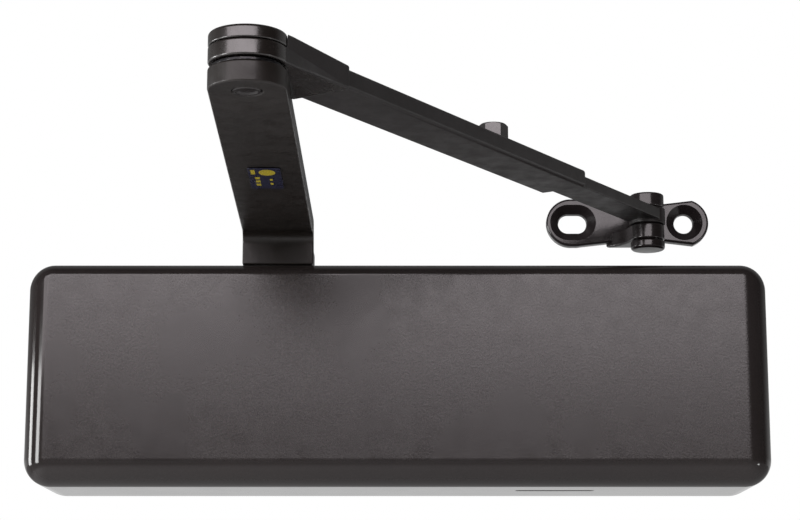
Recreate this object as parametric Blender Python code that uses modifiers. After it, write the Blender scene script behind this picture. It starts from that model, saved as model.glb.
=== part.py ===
"""Surface-mounted door closer with a full cover and a regular double-lever arm.

The wall is the plane y = 0. +X runs along the closer, -Y points out of the wall and +Z is up.
The origin is the centre of the body's four mounting holes, on the back of the body.
"""

import math

import bmesh
import bpy
from mathutils import Matrix, Vector

# Driving dimensions, in metres.
GAP = 0.0003  # clearance between two pieces that touch
PAST = 0.001  # how far a cut runs past the surface it opens

COVER_LENGTH = 0.338
COVER_HEIGHT = 0.1016
COVER_WALL = 0.003
COVER_EDGE = 0.012  # radius of the rounded edges
COVER_TOP_EDGE = 0.0065  # height of the rounding along the front's top edge
COVER_EDGE_SEGMENTS = 4
COVER_SLOT_LENGTH = 0.036
COVER_SLOT_WIDTH = 0.0038
COVER_SLOT_X = 0.0723
COVER_NOTCH_ROOM = 0.0008  # around the hub
COVER_SCREW_Y = -0.020
COVER_SCREW_RADIUS = 0.002
COVER_SCREW_HEAD_RADIUS = 0.004
COVER_SCREW_HEAD_HEIGHT = 0.002
COVER_SCREW_LENGTH = 0.011
COVER_SCREW_SINK = 0.0001

BORE_RADIUS = 0.019
COVER_DEPTH = 2 * BORE_RADIUS + 0.022  # the base plate, the cylinder and the cover's wall
CYLINDER_WALL = 0.0055
CYLINDER_LENGTH = 0.280
CYLINDER_FRONT_ROOM = 0.003  # between the cylinder and the inside of the cover
BASE_THICKNESS = 0.007
BASE_HEIGHT = 0.046
BASE_END_ROOM = 0.004  # between the base plate and the inside of the cover
SADDLE_HEIGHT = 0.030
MOUNT_SPACING_X = 0.3048
MOUNT_SPACING_Z = 0.01905
MOUNT_HOLE_RADIUS = 0.0035
SCREW_BLOCK_LENGTH = 0.0072
SCREW_BLOCK_HEIGHT = 0.014
SCREW_BLOCK_REACH = 0.025  # out of the wall

PINION_X = -0.0556
GEAR_TEETH = 10
GEAR_MODULE = 0.0016
GEAR_ADDENDUM = 0.0013
GEAR_HALF_HEIGHT = 1.1 * BORE_RADIUS - 0.0033  # the journals clear the ends of the rack's teeth
RACK_ADDENDUM = 0.00085
TOOTH_DEPTH = 0.0016  # from the pitch line to the root
TOOTH_BACKLASH = 0.0003
TOOTH_ROOT_ROOM = 0.00045
FLANK_STEPS = 3
PRESSURE_ANGLE = math.radians(20)
JOURNAL_RADIUS = 0.0087
JOURNAL_CHAMFER = 0.0006
SHAFT_CORE_RADIUS = 0.0055
SHAFT_SQUARE = 0.011
SHAFT_END_ROOM = 0.0018  # between the shaft's end and the inside of the cover
SHAFT_TAP_RADIUS = 0.003
SHAFT_TAP_DEPTH = 0.012
BOSS_RADIUS = 0.0195
BOSS_RISE = 0.012  # above the bore's wall
BEARING_RADIUS = 0.0147
BEARING_HEIGHT = 0.0062
BEARING_SHOULDER = 0.0025
BEARING_LEDGE = 0.0035
NUT_FLATS = 0.034
NUT_HEIGHT = 0.005
NUT_TO_HUB = 0.0025
SHAFT_CAP_WALL = 0.0015
SEAL_RADIUS = 0.0117
SEAL_HEIGHT = 0.0041

PISTON_CLEARANCE = 0.0004
PISTON_HEAD = 0.016
PISTON_CHAMFER = 0.001
PISTON_TRAVEL_OPEN = 0.0168  # toward the spring, as the door opens
PISTON_TRAVEL_BACK = 0.0042
WINDOW_ROOM = 0.0012
RING_DEPTH = 0.0018
RING_WIDTH = 0.003
RING_TO_BORE = 0.0002
CHECK_BALL_RADIUS = 0.0022
CHECK_PORT_RADIUS = 0.0012
RETAINER_THICKNESS = 0.003
RETAINER_BORE = 0.001

SPRING_WIRE_RADIUS = 0.0026
SPRING_TURNS = 10
SPRING_ROOM = 0.0006  # inside the piston's radius
SPRING_POINTS_PER_TURN = 10
SEAT_THICKNESS = 0.004
SEAT_HUB_RADIUS = 0.009
SEAT_HUB_LENGTH = 0.008
POWER_SCREW_RADIUS = 0.0045
POWER_SCREW_TRAVEL = 0.0045
POWER_COLLAR_RADIUS = 0.008
POWER_COLLAR_LENGTH = 0.003
POWER_HEAD_RADIUS = 0.007
POWER_HEAD_LENGTH = 0.005
POWER_HEAD_CHAMFER = 0.0008
POWER_TIP = 0.003  # past the seat
POWER_TIP_CHAMFER = 0.001
PLUG_DEPTH = 0.012
PLUG_FLANGE_RADIUS = BORE_RADIUS + 0.003
PLUG_FLANGE = 0.005
PLUG_CHAMFER = 0.001
PLUG_SOCKET_FLATS = 0.010
PLUG_RING_MINOR = 0.0007
SOCKET_RADIUS = 0.0035
SOCKET_DEPTH = 0.003

VALVE_XS = {"closing_valve": -0.121, "latch_valve": -0.106, "backcheck_valve": -0.091}
VALVE_RADIUS = 0.003
VALVE_LENGTH = 0.0068
VALVE_RING_MINOR = 0.0004
VALVE_PORT_RADIUS = 0.0012
VALVE_BLOCK_DROP = 0.0335  # from the bore's axis to the block's lower face
VALVE_BLOCK_MARGIN = 0.007
VALVE_BLOCK_WIDTH = 0.023
VALVE_SOCKET_RADIUS = 0.0013
VALVE_SOCKET_DEPTH = 0.0018
VALVE_TIP_RADIUS = 0.0008
VALVE_TIP_HEIGHT = 0.0012
VALVE_CHAMFER = 0.0004
VALVE_SEAL_PLACE = 0.6  # along the valve

LEVER_LENGTH = 0.2538
LEVER_ANGLE = math.radians(-89.3)
HUB_RADIUS = 0.0165
LEVER_FOOT_RISE = 0.001  # above the cover's top
LEVER_FOOT_THICKNESS = 0.0082
LEVER_RISE = 0.0156  # the arm's underside above the cover's top
LEVER_THICKNESS = 0.0078
LEVER_BEND = 0.0185  # from the shaft's axis to the front of the rise
LEVER_BEND_RADIUS = 0.005
LEVER_WEB = 0.0085
LEVER_SHOULDER = 0.004  # radius behind the rise
LEVER_SHOULDER_LEAN = 0.006
LEVER_MARGIN = 0.002
ELBOW_RADIUS = 0.014
ELBOW_PIN_RADIUS = 0.0052
ELBOW_PIN_HEAD_RADIUS = 0.008
ELBOW_PIN_HEAD_HEIGHT = 0.0022
ELBOW_PIN_CHAMFER = 0.0005
ELBOW_WASHER_THICKNESS = 0.0012
ELBOW_WASHER_RADIUS = 0.0125
ELBOW_BUSH_WALL = 0.0015
ELBOW_HEAD_HEIGHT = 0.006
ELBOW_CAP_HEIGHT = 0.0049
ELBOW_CAP_WALL = 0.0015
ELBOW_CAP_CHAMFER = 0.0008
ARM_SCREW_RADIUS = 0.0027
ARM_SCREW_HEAD_FLATS = 0.013
ARM_SCREW_HEAD_HEIGHT = 0.0055
ARM_SCREW_REACH = 0.008  # into the shaft
ARM_WASHER_RADIUS = 0.009
ARM_WASHER_THICKNESS = 0.0012
LABEL_LENGTH = 0.0346
LABEL_WIDTH = 0.0134
LABEL_THICKNESS = 0.0003
LABEL_DISTANCE = 0.1275  # from the shaft's axis

SHOE_PIN_X = 0.1192
SHOE_PIN_DEPTH = 0.0195
SHOE_PIN_RADIUS = 0.004
SHOE_PIN_HEAD_RADIUS = 0.0081
SHOE_PIN_HEAD_HEIGHT = 0.0042
SHOE_PIN_HEAD_CHAMFER = 0.0008
SHOE_PIN_CHAMFER = 0.0004
FOREARM_BLOCK_START = 0.004  # from the elbow's axis
FOREARM_BLOCK_LEVEL = 0.010
FOREARM_BLOCK_LENGTH = 0.045
FOREARM_BLOCK_LAP = 0.010  # over the tube
FOREARM_BLOCK_HALF_WIDTH = 0.013
FOREARM_BLOCK_FALL = 0.0019
TUBE_END = 0.231  # from the elbow's axis
TUBE_HALF_WIDTH = 0.0113
TUBE_HEIGHT = 0.0078
TUBE_LIFT = 0.001
TUBE_EDGE = 0.0016
ROD_HALF_WIDTH = 0.008
ROD_HEIGHT = 0.0052
ROD_START = 0.100  # from the elbow's axis
ROD_EDGE = 0.0005
ROD_IN = 0.030
ROD_END_ROOM = 0.005
CLAMP_DISTANCE = 0.170
CLAMP_SHANK_RADIUS = 0.003
CLAMP_FLANGE_RADIUS = 0.007
CLAMP_FLANGE_HEIGHT = 0.0016
CLAMP_HEAD_FLATS = 0.011
CLAMP_HEAD_HEIGHT = 0.0065
CLAMP_FLANGE_TAPER = 0.0005
CLAMP_LAP = 0.0004
EYE_RADIUS = 0.0085
EYE_HEIGHT = 0.0076
EYE_LIFT = 0.0006
BUSH_WALL = 0.0013

SHOE_THICKNESS = 0.006
SHOE_EDGE = 0.0012
SHOE_LOBE_RADIUS = 0.0117
SHOE_WAIST = 0.0087  # half the plate's height between its lobes
SHOE_WAIST_LEFT = -0.0065  # from the pin
SHOE_WAIST_RIGHT = 0.0045
SHOE_SLOT_X = -0.0331  # from the pin
SHOE_HOLE_X = 0.0197
SHOE_HOLE_RADIUS = 0.0044
SHOE_SLOT_STRETCH = 0.0023
SHOE_SINK_WIDTH = 0.0044
SHOE_SINK_DEPTH = 0.0036
EAR_RADIUS = 0.008
EAR_LOWER = 0.0075
EAR_UPPER = 0.0067
EAR_LEFT_REACH = 0.018
EAR_RIGHT_REACH = 0.0085
EAR_FLARE = 0.002

FINE = 32
MEDIUM = 20
SMALL = 12
ROUND = 40
RING_SIDES = 5
SINK_SIDES = 28
SMOOTH_ANGLE = math.radians(32)

# Places that follow from the driving dimensions.
COVER_TOP = COVER_HEIGHT / 2
CYLINDER_RADIUS = BORE_RADIUS + CYLINDER_WALL
CYLINDER_Y = CYLINDER_FRONT_ROOM + COVER_WALL + CYLINDER_RADIUS - COVER_DEPTH
CYLINDER_END = CYLINDER_LENGTH / 2
GEAR_PITCH_RADIUS = GEAR_TEETH * GEAR_MODULE / 2
BOSS_TOP = BORE_RADIUS + BOSS_RISE
BEARING_LOW = BORE_RADIUS + BEARING_SHOULDER
NUT_TOP = BOSS_TOP + GAP + NUT_HEIGHT
SHAFT_END = COVER_TOP - COVER_WALL - SHAFT_END_ROOM
HUB_BOTTOM = NUT_TOP + NUT_TO_HUB
FOOT_BOTTOM = COVER_TOP + LEVER_FOOT_RISE
FOOT_TOP = FOOT_BOTTOM + LEVER_FOOT_THICKNESS
LEVER_BOTTOM = COVER_TOP + LEVER_RISE
LEVER_TOP = LEVER_BOTTOM + LEVER_THICKNESS
FOREARM_BOTTOM = LEVER_TOP + ELBOW_WASHER_THICKNESS + 2 * GAP
HEAD_TOP = FOREARM_BOTTOM + ELBOW_HEAD_HEIGHT
CAP_BOTTOM = HEAD_TOP + GAP
CAP_TOP = CAP_BOTTOM + ELBOW_CAP_HEIGHT
TUBE_BOTTOM = FOREARM_BOTTOM + TUBE_LIFT
TUBE_TOP = TUBE_BOTTOM + TUBE_HEIGHT
ROD_LEVEL = (TUBE_BOTTOM + TUBE_TOP) / 2
EYE_BOTTOM = FOREARM_BOTTOM + EYE_LIFT
EYE_TOP = EYE_BOTTOM + EYE_HEIGHT
PIN_LENGTH_TOP = EYE_TOP + GAP + EAR_UPPER
WINDOW_REACH = GEAR_PITCH_RADIUS + GEAR_ADDENDUM + WINDOW_ROOM
PISTON_LEFT = PINION_X - WINDOW_REACH - PISTON_TRAVEL_OPEN - PISTON_HEAD
PISTON_RIGHT = PINION_X + WINDOW_REACH + PISTON_TRAVEL_BACK + PISTON_HEAD
PISTON_RADIUS = BORE_RADIUS - PISTON_CLEARANCE
COLLAR_LEFT = CYLINDER_END - PLUG_DEPTH - GAP - POWER_COLLAR_LENGTH
SEAT_LEFT = COLLAR_LEFT - GAP - POWER_SCREW_TRAVEL - SEAT_HUB_LENGTH - SEAT_THICKNESS

PINION_AXIS = Vector((PINION_X, CYLINDER_Y, 0))
ELBOW = PINION_AXIS + LEVER_LENGTH * Vector((math.cos(LEVER_ANGLE), math.sin(LEVER_ANGLE), 0))
SHOE_PIN = Vector((SHOE_PIN_X, -SHOE_PIN_DEPTH, 0))
FOREARM_REACH = (SHOE_PIN - ELBOW).length
FOREARM_ANGLE = math.atan2(SHOE_PIN.y - ELBOW.y, SHOE_PIN.x - ELBOW.x)

ALONG_X = Matrix.Rotation(math.radians(90), 4, "Y")
UPRIGHT = Matrix.Rotation(math.radians(90), 4, "X")
TURN_OVER = Matrix.Rotation(math.radians(180), 4, "X")

FINISHES = {
    "bronze_plastic": ((0.105, 0.092, 0.094), 0.32, 0.0),
    "bronze_paint": ((0.120, 0.105, 0.108), 0.30, 0.3),
    "bronze_steel": ((0.130, 0.116, 0.120), 0.25, 0.6),
    "cast_iron": ((0.075, 0.072, 0.070), 0.55, 0.4),
    "bright_steel": ((0.560, 0.560, 0.570), 0.28, 1.0),
    "black_oxide": ((0.030, 0.030, 0.032), 0.35, 0.7),
    "spring_steel": ((0.180, 0.180, 0.190), 0.35, 0.9),
    "bronze_bush": ((0.430, 0.270, 0.110), 0.35, 0.9),
    "seal_rubber": ((0.020, 0.020, 0.020), 0.70, 0.0),
    "label_film": ((0.020, 0.024, 0.060), 0.40, 0.0),
}


def clear_scene():
    for obj in list(bpy.data.objects):
        bpy.data.objects.remove(obj, do_unlink=True)


def make_collection(name):
    collection = bpy.data.collections.new(name)
    bpy.context.scene.collection.children.link(collection)
    return collection


def make_material(name):
    colour, roughness, metallic = FINISHES[name]
    material = bpy.data.materials.new(name)
    material.use_nodes = True
    shader = material.node_tree.nodes["Principled BSDF"]
    shader.inputs["Base Color"].default_value = (*colour, 1)
    shader.inputs["Roughness"].default_value = roughness
    shader.inputs["Metallic"].default_value = metallic
    material.diffuse_color = (*colour, 1)
    return material


clear_scene()
PARTS = make_collection("door_closer")
CUTTERS = make_collection("door_closer_cutters")
MATERIALS = {name: make_material(name) for name in FINISHES}


# Meshes, each in its own piece's axes.

def mesh_of(bm, name):
    mesh = bpy.data.meshes.new(name)
    bm.to_mesh(mesh)
    bm.free()
    return mesh


def box_mesh(low, high):
    low, high = Vector(low), Vector(high)
    bm = bmesh.new()
    placing = Matrix.Translation((low + high) / 2) @ Matrix.Diagonal((*(high - low), 1))
    bmesh.ops.create_cube(bm, size=1, matrix=placing)
    return mesh_of(bm, "box")


def drum_mesh(radius, low, high, segments=MEDIUM, top_radius=None, turn=0.0):
    """A cylinder or cone about Z; top_radius is its radius at high."""
    bm = bmesh.new()
    placing = Matrix.Translation((0, 0, (low + high) / 2)) @ Matrix.Rotation(turn, 4, "Z")
    bmesh.ops.create_cone(
        bm, cap_ends=True, segments=segments, radius1=radius,
        radius2=radius if top_radius is None else top_radius, depth=high - low, matrix=placing,
    )
    return mesh_of(bm, "drum")


def hexagon_mesh(flats, low, high):
    return drum_mesh(flats / math.sqrt(3), low, high, segments=6)


def torus_mesh(major, minor, height, around, across=6):
    bm = bmesh.new()
    ring = [
        bm.verts.new((major + minor * math.cos(a), 0, height + minor * math.sin(a)))
        for a in (2 * math.pi * i / across for i in range(across))
    ]
    edges = [bm.edges.new((ring[i], ring[i - 1])) for i in range(across)]
    bmesh.ops.spin(
        bm, geom=ring + edges, axis=(0, 0, 1), angle=2 * math.pi, steps=around, use_merge=True
    )
    bmesh.ops.remove_doubles(bm, verts=bm.verts, dist=1e-6)
    bmesh.ops.recalc_face_normals(bm, faces=bm.faces)
    return mesh_of(bm, "torus")


def arc(centre, radius, start, end, steps):
    """Points on an arc about a centre, with its angles in degrees."""
    turn = (math.radians(start + (end - start) * i / steps) for i in range(steps + 1))
    return [(centre[0] + radius * math.cos(a), centre[1] + radius * math.sin(a)) for a in turn]


def outline_mesh(points, low, high):
    """A flat outline in the XY plane, filled and thick from low to high."""
    curve = bpy.data.curves.new("outline", "CURVE")
    curve.dimensions = "2D"
    curve.fill_mode = "BOTH"
    curve.extrude = (high - low) / 2
    spline = curve.splines.new("POLY")
    spline.points.add(len(points) - 1)
    for point, (x, y) in zip(spline.points, points):
        point.co = (x, y, 0, 1)
    spline.use_cyclic_u = True
    guide = bpy.data.objects.new("outline", curve)
    CUTTERS.objects.link(guide)
    bpy.context.view_layer.update()
    graph = bpy.context.evaluated_depsgraph_get()
    mesh = bpy.data.meshes.new_from_object(guide.evaluated_get(graph))
    bpy.data.objects.remove(guide)
    bm = bmesh.new()
    bm.from_mesh(mesh)
    bmesh.ops.remove_doubles(bm, verts=bm.verts, dist=1e-6)
    bmesh.ops.dissolve_limit(bm, angle_limit=math.radians(0.1), verts=bm.verts, edges=bm.edges)
    bmesh.ops.translate(bm, verts=bm.verts, vec=(0, 0, (low + high) / 2))
    bmesh.ops.recalc_face_normals(bm, faces=bm.faces)
    bm.to_mesh(mesh)
    bm.free()
    return mesh


def profile_mesh(points, closed):
    """The edge of a turned shape: (radius, height) points down its outer side."""
    bm = bmesh.new()
    verts = [bm.verts.new((radius, 0, height)) for radius, height in points]
    for first, second in zip(verts, verts[1:]):
        bm.edges.new((first, second))
    if closed:
        bm.edges.new((verts[-1], verts[0]))
    return mesh_of(bm, "profile")


# Objects.

def add(name, mesh, material, placing=Matrix.Identity(4)):
    """One named piece; its origin is where placing puts it."""
    obj = bpy.data.objects.new(name, mesh)
    mesh.name = name
    mesh.materials.clear()
    mesh.materials.append(MATERIALS[material])
    obj.matrix_world = placing
    PARTS.objects.link(obj)
    if mesh.polygons:
        mesh.shade_smooth()
        mesh.set_sharp_from_angle(angle=SMOOTH_ANGLE)
    return obj


def turn_profile(obj, steps):
    screw = obj.modifiers.new("turned", "SCREW")
    screw.steps = steps
    screw.render_steps = steps
    screw.use_merge_vertices = True
    screw.merge_threshold = 0.00001
    screw.use_smooth_shade = True


def turned(name, points, material, placing=Matrix.Identity(4), steps=MEDIUM, closed=False):
    obj = add(name, profile_mesh(points, closed), material, placing)
    turn_profile(obj, steps)
    return obj


def helper(mesh, placing=Matrix.Identity(4)):
    """A cutter or a solid to join, which is not a piece itself."""
    obj = bpy.data.objects.new("cutter", mesh)
    obj.matrix_world = placing
    obj.hide_render = True
    obj.display_type = "WIRE"
    CUTTERS.objects.link(obj)
    return obj


def turned_helper(points, placing=Matrix.Identity(4), steps=MEDIUM):
    obj = helper(profile_mesh(points, closed=False), placing)
    turn_profile(obj, steps)
    return obj


def combine(obj, others, operation):
    for other in others:
        boolean = obj.modifiers.new(operation.lower(), "BOOLEAN")
        boolean.operation = operation
        boolean.solver = "EXACT"
        boolean.object = other


def join(obj, *others):
    combine(obj, others, "UNION")


def cut(obj, *others):
    combine(obj, others, "DIFFERENCE")


def bevel(obj, width, segments=2, angle=40):
    modifier = obj.modifiers.new("edges", "BEVEL")
    modifier.width = width
    modifier.segments = segments
    modifier.limit_method = "ANGLE"
    modifier.angle_limit = math.radians(angle)


def at(x=0.0, y=0.0, z=0.0):
    return Matrix.Translation((x, y, z))


ON_CYLINDER = at(y=CYLINDER_Y) @ ALONG_X
ON_PINION = Matrix.Translation(PINION_AXIS)
ON_LEVER = ON_PINION @ Matrix.Rotation(LEVER_ANGLE, 4, "Z")
ON_ELBOW = Matrix.Translation(ELBOW)
ON_FOREARM = ON_ELBOW @ Matrix.Rotation(FOREARM_ANGLE, 4, "Z")
ON_SHOE = Matrix.Translation(SHOE_PIN)
END_SIGNS = {"left": -1, "right": 1}


def end_placing(sign, x, y=CYLINDER_Y):
    """Local +Z out of the closer's left (-1) or right (+1) end."""
    return at(sign * x, y) @ Matrix.Rotation(math.radians(90 * sign), 4, "Y")


# The cover and its screws.

def make_cover():
    half_length, half_height = COVER_LENGTH / 2, COVER_HEIGHT / 2
    mesh = box_mesh((-half_length, -COVER_DEPTH, -half_height), (half_length, 0, half_height))
    bm = bmesh.new()
    bm.from_mesh(mesh)
    back = [face for face in bm.faces if face.normal.y > 0.5]
    bmesh.ops.delete(bm, geom=back, context="FACES_ONLY")
    edges = [edge for edge in bm.edges if not edge.is_boundary]
    bmesh.ops.bevel(
        bm, geom=edges, offset=COVER_EDGE, segments=COVER_EDGE_SEGMENTS, profile=0.5, affect="EDGES"
    )
    for vert in bm.verts:
        front = 1 - (vert.co.y + COVER_DEPTH) / COVER_EDGE
        if vert.co.z > 0 and front > 0:
            side = math.sqrt(max(0.0, 1 - front * front))
            vert.co.z += (COVER_EDGE - COVER_TOP_EDGE) * (1 - side)
    bm.to_mesh(mesh)
    bm.free()
    cover = add("cover", mesh, "bronze_plastic")
    wall = cover.modifiers.new("wall", "SOLIDIFY")
    wall.thickness = COVER_WALL
    wall.offset = -1
    wall.use_even_offset = True

    notch_radius = HUB_RADIUS + COVER_NOTCH_ROOM
    notch = [(notch_radius, PAST - CYLINDER_Y), (-notch_radius, PAST - CYLINDER_Y)]
    notch += arc((0, 0), notch_radius, 180, 360, 16)
    notch_mesh = outline_mesh(notch, COVER_TOP - COVER_WALL - PAST, COVER_TOP + PAST)
    cut(cover, helper(notch_mesh, ON_PINION))

    half_slot = COVER_SLOT_LENGTH / 2 - COVER_SLOT_WIDTH / 2
    slot = arc((half_slot, 0), COVER_SLOT_WIDTH / 2, -90, 90, 6)
    slot += arc((-half_slot, 0), COVER_SLOT_WIDTH / 2, 90, 270, 6)
    slot_cut = outline_mesh(slot, -COVER_TOP - PAST, -COVER_TOP + COVER_WALL + PAST)
    cut(cover, helper(slot_cut, at(COVER_SLOT_X, CYLINDER_Y)))

    for sign in END_SIGNS.values():
        hole = [
            (0, PAST), (COVER_SCREW_HEAD_RADIUS + GAP, PAST), (COVER_SCREW_HEAD_RADIUS + GAP, 0),
            (COVER_SCREW_RADIUS + GAP, -COVER_SCREW_HEAD_HEIGHT),
            (COVER_SCREW_RADIUS + GAP, -COVER_WALL - PAST), (0, -COVER_WALL - PAST),
        ]
        cut(cover, turned_helper(hole, end_placing(sign, half_length, COVER_SCREW_Y), SMALL))


def make_cover_screws():
    for side, sign in END_SIGNS.items():
        points = [
            (0, -COVER_SCREW_SINK), (COVER_SCREW_HEAD_RADIUS, -COVER_SCREW_SINK),
            (COVER_SCREW_RADIUS, -COVER_SCREW_HEAD_HEIGHT - COVER_SCREW_SINK),
            (COVER_SCREW_RADIUS, -COVER_SCREW_LENGTH), (0, -COVER_SCREW_LENGTH),
        ]
        placing = end_placing(sign, COVER_LENGTH / 2, COVER_SCREW_Y)
        turned("cover_screw_" + side, points, "black_oxide", placing, SMALL)


# The closer's body and what closes its bores.

def make_closer_body():
    end = COVER_LENGTH / 2 - COVER_WALL
    base_end = end - BASE_END_ROOM
    body = add(
        "closer_body",
        box_mesh((-base_end, -BASE_THICKNESS, -BASE_HEIGHT / 2), (base_end, 0, BASE_HEIGHT / 2)),
        "cast_iron",
    )
    saddle = box_mesh(
        (-CYLINDER_END, CYLINDER_Y, -SADDLE_HEIGHT / 2),
        (CYLINDER_END, -BASE_THICKNESS / 2, SADDLE_HEIGHT / 2),
    )
    valve_xs = list(VALVE_XS.values())
    valve_block = box_mesh(
        (min(valve_xs) - VALVE_BLOCK_MARGIN, CYLINDER_Y - VALVE_BLOCK_WIDTH / 2, -VALVE_BLOCK_DROP),
        (max(valve_xs) + VALVE_BLOCK_MARGIN, CYLINDER_Y + VALVE_BLOCK_WIDTH / 2, 0),
    )
    join(
        body,
        helper(saddle),
        helper(drum_mesh(CYLINDER_RADIUS, -CYLINDER_END, CYLINDER_END, FINE), ON_CYLINDER),
        helper(drum_mesh(BOSS_RADIUS, -BOSS_TOP, BOSS_TOP, FINE), ON_PINION),
        helper(valve_block),
    )
    for sign in END_SIGNS.values():
        inner, outer = sorted((sign * (end - GAP), sign * (end - GAP - SCREW_BLOCK_LENGTH)))
        join(body, helper(box_mesh(
            (inner, -SCREW_BLOCK_REACH, -SCREW_BLOCK_HEIGHT / 2),
            (outer, -BASE_THICKNESS / 2, SCREW_BLOCK_HEIGHT / 2),
        )))

    bore = drum_mesh(BORE_RADIUS, -CYLINDER_END - PAST, CYLINDER_END + PAST, FINE)
    cut(body, helper(bore, ON_CYLINDER))
    shoulder_radius = BEARING_RADIUS - BEARING_LEDGE
    housing = BEARING_RADIUS + GAP
    shaft_hole = [
        (0, BOSS_TOP + PAST), (housing, BOSS_TOP + PAST), (housing, BEARING_LOW),
        (shoulder_radius, BEARING_LOW), (shoulder_radius, -BEARING_LOW), (housing, -BEARING_LOW),
        (housing, -BOSS_TOP - PAST), (0, -BOSS_TOP - PAST),
    ]
    cut(body, turned_helper(shaft_hole, ON_PINION))
    for x in (-MOUNT_SPACING_X / 2, MOUNT_SPACING_X / 2):
        for z in (-MOUNT_SPACING_Z / 2, MOUNT_SPACING_Z / 2):
            hole = drum_mesh(MOUNT_HOLE_RADIUS, -PAST, BASE_THICKNESS + PAST, SMALL)
            cut(body, helper(hole, at(x, 0, z) @ UPRIGHT))
    for x in valve_xs:
        pocket = VALVE_RADIUS + GAP
        valve_hole = [
            (0, -BORE_RADIUS + PAST), (VALVE_PORT_RADIUS, -BORE_RADIUS + PAST),
            (VALVE_PORT_RADIUS, VALVE_LENGTH + 2 * GAP - VALVE_BLOCK_DROP),
            (pocket, VALVE_LENGTH + GAP - VALVE_BLOCK_DROP), (pocket, -VALVE_BLOCK_DROP - PAST),
            (0, -VALVE_BLOCK_DROP - PAST),
        ]
        cut(body, turned_helper(valve_hole, at(x, CYLINDER_Y), SMALL))
    for sign in END_SIGNS.values():
        tap = drum_mesh(COVER_SCREW_RADIUS + GAP, -COVER_SCREW_LENGTH, 0, SMALL)
        cut(body, helper(tap, end_placing(sign, COVER_LENGTH / 2 - GAP, COVER_SCREW_Y)))


def make_end_plugs():
    radius = BORE_RADIUS - GAP
    groove = radius - 2 * PLUG_RING_MINOR - 2 * GAP
    middle = -PLUG_DEPTH / 2
    half = PLUG_RING_MINOR + GAP
    for side, sign in END_SIGNS.items():
        points = [
            (0, PLUG_FLANGE + GAP), (PLUG_FLANGE_RADIUS - PLUG_CHAMFER, PLUG_FLANGE + GAP),
            (PLUG_FLANGE_RADIUS, PLUG_FLANGE + GAP - PLUG_CHAMFER), (PLUG_FLANGE_RADIUS, GAP), (radius, GAP),
            (radius, middle + half), (groove, middle + half), (groove, middle - half),
            (radius, middle - half), (radius, -PLUG_DEPTH), (0, -PLUG_DEPTH),
        ]
        placing = end_placing(sign, CYLINDER_END)
        plug = turned(side + "_end_plug", points, "bright_steel", placing, FINE)
        if side == "right":
            hole = drum_mesh(POWER_SCREW_RADIUS + GAP, -PLUG_DEPTH - PAST, PLUG_FLANGE + PAST, SMALL)
            cut(plug, helper(hole, placing))
        else:
            socket = hexagon_mesh(PLUG_SOCKET_FLATS, PLUG_FLANGE / 2, PLUG_FLANGE + PAST)
            cut(plug, helper(socket, placing))
        ring = torus_mesh(groove + GAP + PLUG_RING_MINOR, PLUG_RING_MINOR, middle, FINE, RING_SIDES)
        add(side + "_plug_seal", ring, "seal_rubber", placing)


def make_shaft_bearings():
    inner = JOURNAL_RADIUS + GAP
    for side, facing in (("upper", Matrix.Identity(4)), ("lower", TURN_OVER)):
        placing = ON_PINION @ facing
        low = BEARING_LOW + GAP
        high = low + BEARING_HEIGHT
        ring = [(inner, high), (BEARING_RADIUS, high), (BEARING_RADIUS, low), (inner, low)]
        turned(side + "_shaft_bearing", ring, "bright_steel", placing, MEDIUM, closed=True)

        collar = hexagon_mesh(NUT_FLATS, BOSS_TOP + GAP, NUT_TOP)
        nut = add(side + "_bearing_nut", collar, "bright_steel", placing)
        spigot = drum_mesh(BEARING_RADIUS, high + GAP, NUT_TOP - PAST)
        join(nut, helper(spigot, placing))
        pocket = SEAL_RADIUS + GAP
        seal_top = high + 2 * GAP + SEAL_HEIGHT
        bore = [
            (0, NUT_TOP + PAST), (inner + GAP, NUT_TOP + PAST), (inner + GAP, seal_top + GAP),
            (pocket, seal_top + GAP), (pocket, high - PAST), (0, high - PAST),
        ]
        cut(nut, turned_helper(bore, placing))
        seal_low = high + 2 * GAP
        seal = [(inner, seal_top), (SEAL_RADIUS, seal_top), (SEAL_RADIUS, seal_low), (inner, seal_low)]
        turned(side + "_shaft_seal", seal, "seal_rubber", placing, MEDIUM, closed=True)


def make_shaft_cap():
    corner = SHAFT_SQUARE / math.sqrt(2) + GAP
    top = -NUT_TOP - GAP
    floor = -SHAFT_END - GAP
    bottom = -COVER_TOP + COVER_WALL + GAP
    outer = corner + SHAFT_CAP_WALL
    points = [(0, floor), (corner, floor), (corner, top), (outer, top), (outer, bottom), (0, bottom)]
    turned("lower_shaft_cap", points, "bronze_plastic", ON_PINION)


# The pinion, its rack and the piston.

def gear_outline():
    """Involute teeth about the origin, with one tooth pointing along -Y."""
    base = GEAR_PITCH_RADIUS * math.cos(PRESSURE_ANGLE)
    tip = GEAR_PITCH_RADIUS + GEAR_ADDENDUM
    root = GEAR_PITCH_RADIUS - TOOTH_DEPTH
    spread = math.tan(PRESSURE_ANGLE) - PRESSURE_ANGLE
    half = (math.pi * GEAR_MODULE / 2 - TOOTH_BACKLASH) / (2 * GEAR_PITCH_RADIUS) + spread
    flank = [(min(root, base), half)]
    for i in range(FLANK_STEPS + 1):
        radius = base + (tip - base) * i / FLANK_STEPS
        angle = math.acos(min(1.0, base / radius))
        flank.append((radius, half - (math.tan(angle) - angle)))
    points = []
    for tooth in range(GEAR_TEETH):
        centre = -math.pi / 2 + 2 * math.pi * tooth / GEAR_TEETH
        for radius, angle in flank:
            points.append((radius * math.cos(centre - angle), radius * math.sin(centre - angle)))
        for radius, angle in reversed(flank):
            points.append((radius * math.cos(centre + angle), radius * math.sin(centre + angle)))
    return points


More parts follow.
